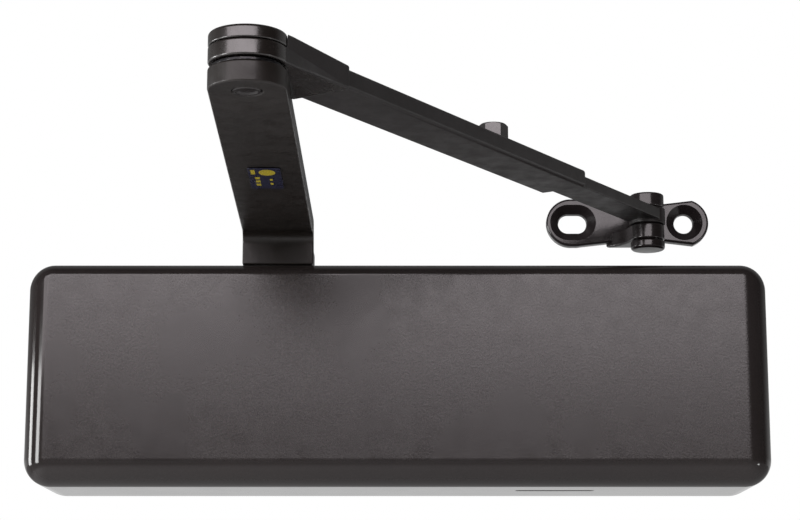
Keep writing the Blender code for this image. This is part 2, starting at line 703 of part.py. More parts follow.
def window_outline():
    """The piston's window about the shaft's axis, with rack teeth along its -Y side."""
    left = PISTON_LEFT + PISTON_HEAD - PINION_X
    right = PISTON_RIGHT - PISTON_HEAD - PINION_X
    pitch = math.pi * GEAR_MODULE
    tip = -GEAR_PITCH_RADIUS + RACK_ADDENDUM
    root = -GEAR_PITCH_RADIUS - GEAR_ADDENDUM - TOOTH_ROOT_ROOM
    rear = GEAR_PITCH_RADIUS + GEAR_ADDENDUM + WINDOW_ROOM
    gap_half = pitch / 4 + TOOTH_BACKLASH / 2
    slope = math.tan(PRESSURE_ANGLE)
    at_root = gap_half - (-GEAR_PITCH_RADIUS - root) * slope
    at_tip = gap_half + RACK_ADDENDUM * slope
    points = [(right, tip), (right, rear), (left, rear), (left, tip)]
    first = math.ceil((left + at_tip) / pitch)
    last = math.floor((right - at_tip) / pitch)
    for i in range(first, last + 1):
        centre = i * pitch
        points += [(centre - at_tip, tip), (centre - at_root, root)]
        points += [(centre + at_root, root), (centre + at_tip, tip)]
    return points


def make_pinion():
    pinion = turned(
        "pinion",
        [
            (0, NUT_TOP), (JOURNAL_RADIUS - JOURNAL_CHAMFER, NUT_TOP),
            (JOURNAL_RADIUS, NUT_TOP - JOURNAL_CHAMFER),
            (JOURNAL_RADIUS, GEAR_HALF_HEIGHT - GAP), (SHAFT_CORE_RADIUS, GEAR_HALF_HEIGHT - GAP),
            (SHAFT_CORE_RADIUS, GAP - GEAR_HALF_HEIGHT), (JOURNAL_RADIUS, GAP - GEAR_HALF_HEIGHT),
            (JOURNAL_RADIUS, JOURNAL_CHAMFER - NUT_TOP), (JOURNAL_RADIUS - JOURNAL_CHAMFER, -NUT_TOP),
            (0, -NUT_TOP),
        ],
        "bright_steel",
        ON_PINION,
    )
    gear = outline_mesh(gear_outline(), -GEAR_HALF_HEIGHT, GEAR_HALF_HEIGHT)
    half = SHAFT_SQUARE / 2
    join(
        pinion,
        helper(gear, ON_PINION),
        helper(box_mesh((-half, -half, BOSS_TOP), (half, half, SHAFT_END)), ON_LEVER),
        helper(box_mesh((-half, -half, -SHAFT_END), (half, half, -BOSS_TOP)), ON_LEVER),
    )
    for facing in (Matrix.Identity(4), TURN_OVER):
        tap = drum_mesh(SHAFT_TAP_RADIUS, SHAFT_END - SHAFT_TAP_DEPTH, SHAFT_END + PAST, SMALL)
        cut(pinion, helper(tap, ON_PINION @ facing))


def ring_groove_xs():
    """The middle of each piston ring's groove."""
    return {
        "left": PISTON_LEFT + PISTON_HEAD / 2,
        "right": PISTON_RIGHT - PISTON_HEAD / 2,
    }


def make_piston():
    inner = PISTON_RADIUS - RING_DEPTH
    face = PISTON_RADIUS - PISTON_CHAMFER
    half = RING_WIDTH / 2
    grooves = ring_groove_xs()
    left, right = grooves["left"], grooves["right"]
    points = [
        (0, PISTON_RIGHT), (face, PISTON_RIGHT), (PISTON_RADIUS, PISTON_RIGHT - PISTON_CHAMFER),
        (PISTON_RADIUS, right + half), (inner, right + half), (inner, right - half),
        (PISTON_RADIUS, right - half), (PISTON_RADIUS, left + half), (inner, left + half),
        (inner, left - half), (PISTON_RADIUS, left - half),
        (PISTON_RADIUS, PISTON_LEFT + PISTON_CHAMFER), (face, PISTON_LEFT), (0, PISTON_LEFT),
    ]
    piston = turned("piston", points, "bright_steel", ON_CYLINDER, FINE)
    window = outline_mesh(window_outline(), -BORE_RADIUS - PAST, BORE_RADIUS + PAST)
    cut(piston, helper(window, ON_PINION))
    ball_pocket = CHECK_BALL_RADIUS + GAP
    pocket_end = RETAINER_THICKNESS + 2 * ball_pocket
    port = [
        (0, PISTON_HEAD + PAST), (CHECK_PORT_RADIUS, PISTON_HEAD + PAST),
        (CHECK_PORT_RADIUS, pocket_end + CHECK_PORT_RADIUS), (ball_pocket, pocket_end),
        (ball_pocket, -PAST), (0, -PAST),
    ]
    cut(piston, turned_helper(port, at(PISTON_LEFT) @ ON_CYLINDER, SMALL))

    for side, x in grooves.items():
        outer = BORE_RADIUS - RING_TO_BORE
        low, high = x - half + GAP, x + half - GAP
        ring = [(inner + GAP, high), (outer, high), (outer, low), (inner + GAP, low)]
        turned("piston_ring_" + side, ring, "cast_iron", ON_CYLINDER, FINE, closed=True)

    bm = bmesh.new()
    bmesh.ops.create_uvsphere(bm, u_segments=12, v_segments=7, radius=CHECK_BALL_RADIUS)
    ball_x = PISTON_LEFT + RETAINER_THICKNESS + GAP + CHECK_BALL_RADIUS
    add("check_ball", mesh_of(bm, "check_ball"), "bright_steel", at(ball_x) @ ON_CYLINDER)
    retainer = [
        (RETAINER_BORE, RETAINER_THICKNESS), (CHECK_BALL_RADIUS, RETAINER_THICKNESS), (CHECK_BALL_RADIUS, 0),
        (RETAINER_BORE, 0),
    ]
    placing = at(PISTON_LEFT) @ ON_CYLINDER
    turned("check_ball_retainer", retainer, "bright_steel", placing, SMALL, closed=True)


# The closing spring and the power adjustment.

def make_spring():
    radius = PISTON_RADIUS - SPRING_WIRE_RADIUS - SPRING_ROOM
    start = PISTON_RIGHT + GAP + SPRING_WIRE_RADIUS
    end = SEAT_LEFT - GAP - SPRING_WIRE_RADIUS
    curve = bpy.data.curves.new("closing_spring", "CURVE")
    curve.dimensions = "3D"
    curve.bevel_depth = SPRING_WIRE_RADIUS
    curve.bevel_resolution = 1
    curve.use_fill_caps = True
    spline = curve.splines.new("POLY")
    count = SPRING_TURNS * SPRING_POINTS_PER_TURN
    spline.points.add(count)
    for i, point in enumerate(spline.points):
        turn = 2 * math.pi * i / SPRING_POINTS_PER_TURN
        x = start + (end - start) * i / count
        point.co = (x, radius * math.cos(turn), radius * math.sin(turn), 1)
    spring = bpy.data.objects.new("closing_spring", curve)
    curve.materials.append(MATERIALS["spring_steel"])
    spring.matrix_world = at(y=CYLINDER_Y)
    PARTS.objects.link(spring)


def make_power_adjustment():
    bore = POWER_SCREW_RADIUS + GAP
    plate = PISTON_RADIUS
    points = [
        (bore, SEAT_THICKNESS + SEAT_HUB_LENGTH), (SEAT_HUB_RADIUS, SEAT_THICKNESS + SEAT_HUB_LENGTH),
        (SEAT_HUB_RADIUS, SEAT_THICKNESS), (plate, SEAT_THICKNESS), (plate, 0), (bore, 0),
    ]
    turned("spring_seat", points, "bright_steel", at(SEAT_LEFT) @ ON_CYLINDER, FINE, closed=True)

    tip = SEAT_LEFT - POWER_SCREW_TRAVEL - POWER_TIP
    head = CYLINDER_END + PLUG_FLANGE + 2 * GAP
    top = head + POWER_HEAD_LENGTH
    collar_right = COLLAR_LEFT + POWER_COLLAR_LENGTH
    points = [
        (0, top), (POWER_HEAD_RADIUS - POWER_HEAD_CHAMFER, top),
        (POWER_HEAD_RADIUS, top - POWER_HEAD_CHAMFER), (POWER_HEAD_RADIUS, head), (POWER_SCREW_RADIUS, head), (POWER_SCREW_RADIUS, collar_right),
        (POWER_COLLAR_RADIUS, collar_right), (POWER_COLLAR_RADIUS, COLLAR_LEFT),
        (POWER_SCREW_RADIUS, COLLAR_LEFT), (POWER_SCREW_RADIUS, tip + POWER_TIP_CHAMFER),
        (POWER_SCREW_RADIUS - POWER_TIP_CHAMFER, tip), (0, tip),
    ]
    screw = turned("power_adjusting_screw", points, "black_oxide", ON_CYLINDER)
    socket = hexagon_mesh(2 * SOCKET_RADIUS, top - SOCKET_DEPTH, top + PAST)
    cut(screw, helper(socket, ON_CYLINDER))


def make_valves():
    low = -VALVE_BLOCK_DROP
    tip = low + VALVE_LENGTH
    groove = VALVE_RADIUS - 2 * VALVE_RING_MINOR - GAP
    middle = low + VALVE_SEAL_PLACE * VALVE_LENGTH
    half = VALVE_RING_MINOR + GAP
    for name, x in VALVE_XS.items():
        placing = at(x, CYLINDER_Y)
        points = [
            (0, tip), (VALVE_TIP_RADIUS, tip), (VALVE_RADIUS, tip - VALVE_TIP_HEIGHT),
            (VALVE_RADIUS, middle + half), (groove, middle + half), (groove, middle - half),
            (VALVE_RADIUS, middle - half), (VALVE_RADIUS, low + VALVE_CHAMFER),
            (VALVE_RADIUS - VALVE_CHAMFER, low), (0, low),
        ]
        valve = turned(name, points, "bright_steel", placing, SMALL)
        socket = hexagon_mesh(2 * VALVE_SOCKET_RADIUS, low - PAST, low + VALVE_SOCKET_DEPTH)
        cut(valve, helper(socket, placing))
        seal_radius = groove + VALVE_RING_MINOR + GAP
        ring = torus_mesh(seal_radius, VALVE_RING_MINOR, middle, SMALL, RING_SIDES)
        add(name + "_seal", ring, "seal_rubber", placing)


# The main lever and its fastening.

def lever_plan():
    """The lever from above: round at both ends, with straight sides that taper."""
    lean = math.degrees(math.asin((HUB_RADIUS - ELBOW_RADIUS) / LEVER_LENGTH))
    points = arc((0, 0), HUB_RADIUS, 90 - lean, 270 + lean, 20)
    points += arc((LEVER_LENGTH, 0), ELBOW_RADIUS, -90 + lean, 90 - lean, 20)
    return points


def lever_side():
    """The lever from the side: foot, rise and long upper arm."""
    rear = -HUB_RADIUS - LEVER_MARGIN
    front = LEVER_LENGTH + ELBOW_RADIUS + LEVER_MARGIN
    corner = (LEVER_BEND + LEVER_BEND_RADIUS, LEVER_BOTTOM - LEVER_BEND_RADIUS)
    rise_rear = LEVER_BEND - LEVER_WEB
    points = [(rear, FOOT_BOTTOM), (LEVER_BEND, FOOT_BOTTOM)]
    points += arc(corner, LEVER_BEND_RADIUS, 180, 90, 5)
    points += [(front, LEVER_BOTTOM), (front, LEVER_TOP)]
    shoulder = (rise_rear + LEVER_SHOULDER_LEAN, LEVER_TOP - LEVER_SHOULDER)
    points += arc(shoulder, LEVER_SHOULDER, 90, 150, 4)
    points += [(rise_rear, FOOT_TOP), (rear, FOOT_TOP)]
    return points


def make_main_arm():
    plan = outline_mesh(lever_plan(), FOOT_BOTTOM - LEVER_MARGIN, LEVER_TOP + LEVER_MARGIN)
    arm = add("main_arm", plan, "bronze_paint", ON_LEVER)
    side = outline_mesh(lever_side(), -HUB_RADIUS - LEVER_MARGIN, HUB_RADIUS + LEVER_MARGIN)
    combine(arm, [helper(side, ON_LEVER @ UPRIGHT)], "INTERSECT")
    join(arm, helper(drum_mesh(HUB_RADIUS, HUB_BOTTOM, FOOT_TOP - PAST, ROUND), ON_LEVER))
    half = SHAFT_SQUARE / 2 + GAP
    square = box_mesh((-half, -half, HUB_BOTTOM - PAST), (half, half, SHAFT_END + GAP))
    screw_hole = drum_mesh(ARM_SCREW_RADIUS + GAP, SHAFT_END - PAST, FOOT_TOP + PAST, SMALL)
    pin_hole = drum_mesh(ELBOW_PIN_RADIUS + GAP, LEVER_BOTTOM - PAST, LEVER_TOP + PAST, MEDIUM)
    cut(arm, helper(square, ON_LEVER), helper(screw_hole, ON_LEVER))
    cut(arm, helper(pin_hole, ON_ELBOW))


def make_arm_screw():
    washer_low = FOOT_TOP + GAP
    washer_top = washer_low + ARM_WASHER_THICKNESS
    inner = ARM_SCREW_RADIUS + GAP
    outer = ARM_WASHER_RADIUS
    washer = [(inner, washer_top), (outer, washer_top), (outer, washer_low), (inner, washer_low)]
    turned("arm_screw_washer", washer, "black_oxide", ON_LEVER, MEDIUM, closed=True)
    low = washer_top + GAP
    head = hexagon_mesh(ARM_SCREW_HEAD_FLATS, low, low + ARM_SCREW_HEAD_HEIGHT)
    screw = add("arm_screw", head, "black_oxide", ON_LEVER)
    shank = drum_mesh(ARM_SCREW_RADIUS, SHAFT_END - ARM_SCREW_REACH, low + PAST, SMALL)
    join(screw, helper(shank, ON_LEVER))


def make_arm_label():
    half_length, half_width = LABEL_LENGTH / 2, LABEL_WIDTH / 2
    top = LEVER_BOTTOM - GAP
    mesh = box_mesh(
        (LABEL_DISTANCE - half_length, -half_width, top - LABEL_THICKNESS),
        (LABEL_DISTANCE + half_length, half_width, top),
    )
    add("arm_label", mesh, "label_film", ON_LEVER)


# The elbow and the forearm.

def make_elbow():
    head_top = CAP_BOTTOM + ELBOW_PIN_HEAD_HEIGHT
    chamfer = ELBOW_PIN_CHAMFER
    pin = [
        (0, head_top), (ELBOW_PIN_HEAD_RADIUS - chamfer, head_top),
        (ELBOW_PIN_HEAD_RADIUS, head_top - chamfer), (ELBOW_PIN_HEAD_RADIUS, CAP_BOTTOM),
        (ELBOW_PIN_RADIUS, CAP_BOTTOM), (ELBOW_PIN_RADIUS, LEVER_BOTTOM + chamfer),
        (ELBOW_PIN_RADIUS - chamfer, LEVER_BOTTOM), (0, LEVER_BOTTOM),
    ]
    turned("elbow_pin", pin, "bronze_steel", ON_ELBOW)
    inner = ELBOW_PIN_RADIUS + GAP
    low = LEVER_TOP + GAP
    high = low + ELBOW_WASHER_THICKNESS
    washer = [(inner, high), (ELBOW_WASHER_RADIUS, high), (ELBOW_WASHER_RADIUS, low), (inner, low)]
    turned("elbow_washer", washer, "black_oxide", ON_ELBOW, MEDIUM, closed=True)
    outer = inner + ELBOW_BUSH_WALL
    bush = [(inner, HEAD_TOP), (outer, HEAD_TOP), (outer, FOREARM_BOTTOM), (inner, FOREARM_BOTTOM)]
    turned("elbow_bush", bush, "bronze_bush", ON_ELBOW, MEDIUM, closed=True)
    inside = ELBOW_RADIUS - ELBOW_CAP_WALL
    ceiling = CAP_TOP - ELBOW_CAP_WALL
    cap = [
        (0, CAP_TOP), (ELBOW_RADIUS - ELBOW_CAP_CHAMFER, CAP_TOP),
        (ELBOW_RADIUS, CAP_TOP - ELBOW_CAP_CHAMFER), (ELBOW_RADIUS, CAP_BOTTOM), (inside, CAP_BOTTOM),
        (inside, ceiling), (0, ceiling),
    ]
    turned("elbow_cap", cap, "bronze_paint", ON_ELBOW, ROUND)


def forearm_block_side():
    """The forearm's thick end from the side, with a top that falls away from the elbow."""
    start, end = FOREARM_BLOCK_START, FOREARM_BLOCK_LENGTH
    return [
        (start, FOREARM_BOTTOM), (end, FOREARM_BOTTOM), (end, CAP_TOP - FOREARM_BLOCK_FALL),
        (FOREARM_BLOCK_LEVEL, CAP_TOP), (start, CAP_TOP),
    ]


def make_forearm():
    block = outline_mesh(forearm_block_side(), -FOREARM_BLOCK_HALF_WIDTH, FOREARM_BLOCK_HALF_WIDTH)
    block.transform(UPRIGHT)
    forearm = add("forearm_tube", block, "bronze_paint", ON_FOREARM)
    room = drum_mesh(ELBOW_RADIUS + GAP, HEAD_TOP, CAP_TOP + PAST, ROUND)
    cut(forearm, helper(room, ON_FOREARM))
    join(forearm, helper(drum_mesh(ELBOW_RADIUS, FOREARM_BOTTOM, HEAD_TOP, ROUND), ON_FOREARM))
    tube = helper(box_mesh(
        (FOREARM_BLOCK_LENGTH - FOREARM_BLOCK_LAP, -TUBE_HALF_WIDTH, TUBE_BOTTOM),
        (TUBE_END, TUBE_HALF_WIDTH, TUBE_TOP),
    ), ON_FOREARM)
    bevel(tube, TUBE_EDGE)
    join(forearm, tube)
    half_height = ROD_HEIGHT / 2 + GAP
    half_width = ROD_HALF_WIDTH + GAP
    hollow = box_mesh(
        (ROD_START - ROD_IN - ROD_END_ROOM, -half_width, ROD_LEVEL - half_height),
        (TUBE_END + PAST, half_width, ROD_LEVEL + half_height),
    )
    pin_hole_radius = ELBOW_PIN_RADIUS + ELBOW_BUSH_WALL + 2 * GAP
    pin_hole = drum_mesh(pin_hole_radius, FOREARM_BOTTOM - PAST, HEAD_TOP + PAST)
    bolt_hole = drum_mesh(CLAMP_SHANK_RADIUS + GAP, ROD_LEVEL, TUBE_TOP + PAST, SMALL)
    cut(forearm, helper(hollow, ON_FOREARM), helper(pin_hole, ON_FOREARM))
    cut(forearm, helper(bolt_hole, ON_FOREARM @ at(CLAMP_DISTANCE)))


def make_clamp_bolt():
    placing = ON_FOREARM @ at(CLAMP_DISTANCE)
    low = TUBE_TOP + GAP
    flange_top = low + CLAMP_FLANGE_HEIGHT
    rim = CLAMP_FLANGE_RADIUS - CLAMP_FLANGE_TAPER
    flange = drum_mesh(CLAMP_FLANGE_RADIUS, low, flange_top, MEDIUM, rim)
    bolt = add("forearm_clamp_bolt", flange, "bronze_steel", placing)
    shank = drum_mesh(CLAMP_SHANK_RADIUS, ROD_LEVEL + ROD_HEIGHT / 2 + GAP, low + CLAMP_LAP, SMALL)
    head = hexagon_mesh(CLAMP_HEAD_FLATS, flange_top - CLAMP_LAP, flange_top + CLAMP_HEAD_HEIGHT)
    join(bolt, helper(head, placing), helper(shank, placing))


def make_rod():
    low, high = ROD_LEVEL - ROD_HEIGHT / 2, ROD_LEVEL + ROD_HEIGHT / 2
    bar = box_mesh((ROD_START, -ROD_HALF_WIDTH, low), (FOREARM_REACH, ROD_HALF_WIDTH, high))
    rod = add("adjusting_rod", bar, "bronze_paint", ON_FOREARM)
    bevel(rod, ROD_EDGE, 1)
    placing = ON_SHOE @ Matrix.Rotation(FOREARM_ANGLE, 4, "Z")
    join(rod, helper(drum_mesh(EYE_RADIUS, EYE_BOTTOM, EYE_TOP), placing))
    hole = drum_mesh(SHOE_PIN_RADIUS + BUSH_WALL + 2 * GAP, EYE_BOTTOM - PAST, EYE_TOP + PAST)
    cut(rod, helper(hole, placing))
    inner = SHOE_PIN_RADIUS + GAP
    outer = inner + BUSH_WALL
    bush = [(inner, EYE_TOP), (outer, EYE_TOP), (outer, EYE_BOTTOM), (inner, EYE_BOTTOM)]
    turned("shoe_bush", bush, "bronze_bush", ON_SHOE, SMALL, closed=True)


# The shoe and its pin.

def shoe_outline():
    """The shoe's plate seen from the front: two lobes and a waist, about the pin."""
    waist = SHOE_WAIST
    left = SHOE_SLOT_X
    right = SHOE_HOLE_X
    points = arc((right, 0), SHOE_LOBE_RADIUS, -70, 70, 14)
    points += [(SHOE_WAIST_RIGHT, waist), (SHOE_WAIST_LEFT, waist)]
    points += arc((left, 0), SHOE_LOBE_RADIUS, 78, 90, 2)
    points += arc((left - SHOE_SLOT_STRETCH, 0), SHOE_LOBE_RADIUS, 90, 270, 16)
    points += arc((left, 0), SHOE_LOBE_RADIUS, 270, 282, 2)
    points += [(SHOE_WAIST_LEFT, -waist), (SHOE_WAIST_RIGHT, -waist)]
    return points


def ear_outline():
    """One ear from above, from the pin back into the plate."""
    back = SHOE_PIN_DEPTH - SHOE_THICKNESS / 2
    points = arc((0, 0), EAR_RADIUS, 180, 360, 16)
    return points + [(EAR_RIGHT_REACH, back), (-EAR_LEFT_REACH, back), (-EAR_RADIUS - EAR_FLARE, back / 3)]


def sink_mesh(stretch):
    """A countersink, stretched sideways for a slot; local +Z is out of the wall."""
    slope = SHOE_SINK_WIDTH / SHOE_SINK_DEPTH
    return stretched_cone(
        SHOE_HOLE_RADIUS - PAST * slope, SHOE_HOLE_RADIUS + SHOE_SINK_WIDTH + PAST * slope,
        SHOE_THICKNESS - SHOE_SINK_DEPTH - PAST, SHOE_THICKNESS + PAST, stretch,
    )


def slot_mesh(stretch):
    return stretched_cone(SHOE_HOLE_RADIUS, SHOE_HOLE_RADIUS, -PAST, SHOE_THICKNESS + 2 * PAST, stretch)


def stretched_cone(low_radius, high_radius, low, high, stretch):
    """A cone or drum whose two halves stand apart along X."""
    bm = bmesh.new()
    placing = Matrix.Translation((0, 0, (low + high) / 2)) @ Matrix.Rotation(math.pi / SINK_SIDES, 4, "Z")
    bmesh.ops.create_cone(
        bm, cap_ends=True, segments=SINK_SIDES, radius1=low_radius, radius2=high_radius, depth=high - low,
        matrix=placing,
    )
    for vert in bm.verts:
        vert.co.x += math.copysign(stretch, vert.co.x)
    return mesh_of(bm, "stretched")


def make_shoe():
    plate_mesh = outline_mesh(shoe_outline(), 0, SHOE_THICKNESS)
    front = at(0, SHOE_PIN_DEPTH, ROD_LEVEL) @ UPRIGHT
    plate_mesh.transform(front)
    shoe = add("shoe", plate_mesh, "bronze_steel", ON_SHOE)
    bevel(shoe, SHOE_EDGE)
    lower = outline_mesh(ear_outline(), EYE_BOTTOM - GAP - EAR_LOWER, EYE_BOTTOM - GAP)
    upper = outline_mesh(ear_outline(), EYE_TOP + GAP, EYE_TOP + GAP + EAR_UPPER)
    join(shoe, helper(lower, ON_SHOE), helper(upper, ON_SHOE))
    hole_low, hole_high = EYE_BOTTOM - GAP - EAR_LOWER - PAST, PIN_LENGTH_TOP + PAST
    pin_hole = drum_mesh(SHOE_PIN_RADIUS + GAP, hole_low, hole_high, SMALL)
    cut(shoe, helper(pin_hole, ON_SHOE))
    for x, stretch in ((SHOE_SLOT_X - SHOE_SLOT_STRETCH / 2, SHOE_SLOT_STRETCH), (SHOE_HOLE_X, 0.0)):
        placing = ON_SHOE @ at(x) @ front
        cut(shoe, helper(slot_mesh(stretch), placing), helper(sink_mesh(stretch), placing))


def make_shoe_pin():
    head_top = EYE_BOTTOM - 2 * GAP - EAR_LOWER
    low = head_top - SHOE_PIN_HEAD_HEIGHT
    points = [
        (0, PIN_LENGTH_TOP), (SHOE_PIN_RADIUS - SHOE_PIN_CHAMFER, PIN_LENGTH_TOP),
        (SHOE_PIN_RADIUS, PIN_LENGTH_TOP - SHOE_PIN_CHAMFER), (SHOE_PIN_RADIUS, head_top),
        (SHOE_PIN_HEAD_RADIUS, head_top), (SHOE_PIN_HEAD_RADIUS, low + SHOE_PIN_HEAD_CHAMFER),
        (SHOE_PIN_HEAD_RADIUS - SHOE_PIN_HEAD_CHAMFER, low), (0, low),
    ]
    turned("shoe_pin", points, "bronze_steel", ON_SHOE)


make_cover()
make_cover_screws()
make_closer_body()
make_end_plugs()
make_shaft_bearings()
make_shaft_cap()
make_pinion()
make_piston()
make_spring()
make_power_adjustment()
make_valves()
make_main_arm()
make_arm_screw()
make_arm_label()
make_elbow()
make_forearm()
make_clamp_bolt()
make_rod()
make_shoe()
make_shoe_pin()
bpy.context.view_layer.update()
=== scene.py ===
"""The look of a surface-mounted door closer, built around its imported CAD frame.

Everything is in metres, in the frame's own axes: the wall is the plane y = 0, +X runs along the closer,
-Y points out of the wall and +Z is up.
"""

import math

import bmesh
import bpy
from mathutils import Matrix, Vector


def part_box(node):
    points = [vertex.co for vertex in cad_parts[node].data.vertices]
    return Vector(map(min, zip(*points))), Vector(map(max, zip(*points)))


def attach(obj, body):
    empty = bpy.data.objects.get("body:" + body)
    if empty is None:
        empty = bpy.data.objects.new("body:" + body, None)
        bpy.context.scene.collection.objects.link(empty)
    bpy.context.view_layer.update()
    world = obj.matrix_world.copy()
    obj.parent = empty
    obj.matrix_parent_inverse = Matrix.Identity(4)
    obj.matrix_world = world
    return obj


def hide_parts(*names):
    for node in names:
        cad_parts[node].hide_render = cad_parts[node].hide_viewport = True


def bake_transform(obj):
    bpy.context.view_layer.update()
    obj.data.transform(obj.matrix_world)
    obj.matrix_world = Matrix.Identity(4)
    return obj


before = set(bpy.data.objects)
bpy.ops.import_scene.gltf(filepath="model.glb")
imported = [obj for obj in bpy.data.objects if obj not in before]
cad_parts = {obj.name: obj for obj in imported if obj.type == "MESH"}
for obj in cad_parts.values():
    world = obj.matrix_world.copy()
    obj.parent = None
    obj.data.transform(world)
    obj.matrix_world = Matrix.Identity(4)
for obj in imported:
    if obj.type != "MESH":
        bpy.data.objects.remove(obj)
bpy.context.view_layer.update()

GAP = 0.0003  # between pieces that rest on each other


# Places, read from the frame.

def middle(node):
    low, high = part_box(node)
    return (low + high) / 2


COVER_LOW, COVER_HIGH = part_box("cover")
PINION = middle("pinion")
ELBOW = middle("elbow_cap")
SHOE_PIN = middle("shoe_pin")
BOLT = middle("forearm_clamp_bolt")
CYLINDER_Y = PINION.y
LEVER_ANGLE = math.atan2(ELBOW.y - PINION.y, ELBOW.x - PINION.x)
LEVER_LENGTH = math.hypot(ELBOW.y - PINION.y, ELBOW.x - PINION.x)
FOREARM_ANGLE = math.atan2(SHOE_PIN.y - ELBOW.y, SHOE_PIN.x - ELBOW.x)
FOREARM_REACH = math.hypot(SHOE_PIN.y - ELBOW.y, SHOE_PIN.x - ELBOW.x)

ALONG_X = Matrix.Rotation(math.radians(90), 4, "Y")
UPRIGHT = Matrix.Rotation(math.radians(90), 4, "X")
TURN_OVER = Matrix.Rotation(math.radians(180), 4, "X")


def at(x=0.0, y=0.0, z=0.0):
    return Matrix.Translation((x, y, z))


ON_CYLINDER = at(0, CYLINDER_Y, 0) @ ALONG_X
ON_PINION = at(PINION.x, PINION.y, 0)
ON_LEVER = ON_PINION @ Matrix.Rotation(LEVER_ANGLE, 4, "Z")
ON_ELBOW = at(ELBOW.x, ELBOW.y, 0)
ON_FOREARM = ON_ELBOW @ Matrix.Rotation(FOREARM_ANGLE, 4, "Z")
ON_SHOE = at(SHOE_PIN.x, SHOE_PIN.y, 0)
ON_ROD_EYE = ON_SHOE @ Matrix.Rotation(FOREARM_ANGLE, 4, "Z")


# Meshes.

def mesh_of(bm, name="piece"):
    mesh = bpy.data.meshes.new(name)
    bmesh.ops.recalc_face_normals(bm, faces=bm.faces)
    bm.to_mesh(mesh)
    bm.free()
    return mesh


def box_mesh(low, high, round_edge=0.0, segments=3):
    low, high = Vector(low), Vector(high)
    bm = bmesh.new()
    bmesh.ops.create_cube(bm, size=1, matrix=Matrix.Translation((low + high) / 2)
                          @ Matrix.Diagonal((*(high - low), 1)))
    if round_edge:
        bmesh.ops.bevel(bm, geom=bm.edges, offset=round_edge, segments=segments, profile=0.5,
                        affect="EDGES")
    return mesh_of(bm)


def arc(centre, radius, start, end, steps):
    """Points on an arc about a centre, with its angles in degrees."""
    turn = (math.radians(start + (end - start) * i / steps) for i in range(steps + 1))
    return [(centre[0] + radius * math.cos(a), centre[1] + radius * math.sin(a)) for a in turn]


def fillet(corners, steps=5):
    """Points along (x, y, radius) corners, each rounded by its own radius; both ends are kept."""
    points = [corners[0][:2]]
    for before, (x, y, radius), after in zip(corners, corners[1:], corners[2:]):
        here = Vector((x, y))
        back = Vector(before[:2]) - here
        on = Vector(after[:2]) - here
        if radius <= 0:
            points.append((x, y))
            continue
        back.normalize()
        on.normalize()
        opening = back.angle(on)
        reach = radius / math.tan(opening / 2)
        centre = here + (back + on).normalized() * radius / math.sin(opening / 2)
        first, last = here + back * reach - centre, here + on * reach - centre
        start = math.atan2(first.y, first.x)
        sweep = math.atan2(first.x * last.y - first.y * last.x, first.dot(last))
        for i in range(steps + 1):
            turn = start + sweep * i / steps
            points.append((centre.x + radius * math.cos(turn), centre.y + radius * math.sin(turn)))
    points.append(corners[-1][:2])
    return points


def lathe_mesh(corners, steps=64, closed=False):
    """A shape turned about Z from (radius, height, fillet) corners down its outer side."""
    loop = [(*c, 0.0)[:3] if len(c) == 2 else c for c in corners]
    if closed:
        turned = fillet([loop[-1], *loop, loop[0]])[1:-1]
    else:
        turned = fillet(loop)
    bm = bmesh.new()
    rings = []
    for radius, height in turned:
        if radius < 1e-7:
            rings.append([bm.verts.new((0, 0, height))])
        else:
            rings.append([bm.verts.new((radius * math.cos(2 * math.pi * i / steps),
                                        radius * math.sin(2 * math.pi * i / steps), height))
                          for i in range(steps)])
    pairs = list(zip(rings, rings[1:])) + ([(rings[-1], rings[0])] if closed else [])
    for one, other in pairs:
        for i in range(steps):
            j = (i + 1) % steps
            if len(one) == 1 and len(other) == 1:
                continue
            if len(one) == 1:
                bm.faces.new((one[0], other[i], other[j]))
            elif len(other) == 1:
                bm.faces.new((one[i], other[0], one[j]))
            else:
                bm.faces.new((one[i], other[i], other[j], one[j]))
    return mesh_of(bm)


def drum_mesh(radius, low, high, edge=0.0, steps=64):
    return lathe_mesh([(0, high), (radius, high, edge), (radius, low, edge), (0, low)], steps)


def inset(points, amount):
    """The outline moved inward by an amount; it runs anticlockwise."""
    moved = []
    for before, here, after in zip(points[-1:] + points, points, points[1:] + points[:1]):
        into = (Vector(here) - Vector(before)).normalized()
        out = (Vector(after) - Vector(here)).normalized()
        normal_in, normal_out = Vector((-into.y, into.x)), Vector((-out.y, out.x))
        normal = (normal_in + normal_out).normalized()
        moved.append(tuple(Vector(here) + normal * amount / max(0.3, normal.dot(normal_in))))
    return moved


def prism_mesh(points, low, high, edge=0.0, segments=4):
    """An outline in the XY plane, thick from low to high, with both rims rounded by edge."""
    area = sum(a[0] * b[1] - b[0] * a[1] for a, b in zip(points, points[1:] + points[:1]))
    points = points if area > 0 else points[::-1]
    layers = []
    if edge:
        turns = [math.pi / 2 * i / segments for i in range(segments + 1)]
        for turn in turns:
            layers.append((edge * (1 - math.sin(turn)), low + edge * (1 - math.cos(turn))))
        for turn in reversed(turns):
            layers.append((edge * (1 - math.sin(turn)), high - edge * (1 - math.cos(turn))))
    else:
        layers = [(0, low), (0, high)]
    bm = bmesh.new()
    rings = [[bm.verts.new((*p, height)) for p in (inset(points, amount) if amount else points)]
             for amount, height in layers]
    for one, other in zip(rings, rings[1:]):
        for i in range(len(points)):
            j = (i + 1) % len(points)
            bm.faces.new((one[i], one[j], other[j], other[i]))
    bm.faces.new(rings[0][::-1])
    bm.faces.new(rings[-1])
    return mesh_of(bm)


def hexagon(flats):
    radius = flats / math.sqrt(3)
    return [(radius * math.cos(math.pi * i / 3), radius * math.sin(math.pi * i / 3)) for i in range(6)]


def merged(*meshes):
    bm = bmesh.new()
    for mesh in meshes:
        bm.from_mesh(mesh)
    return mesh_of(bm)


# Objects.

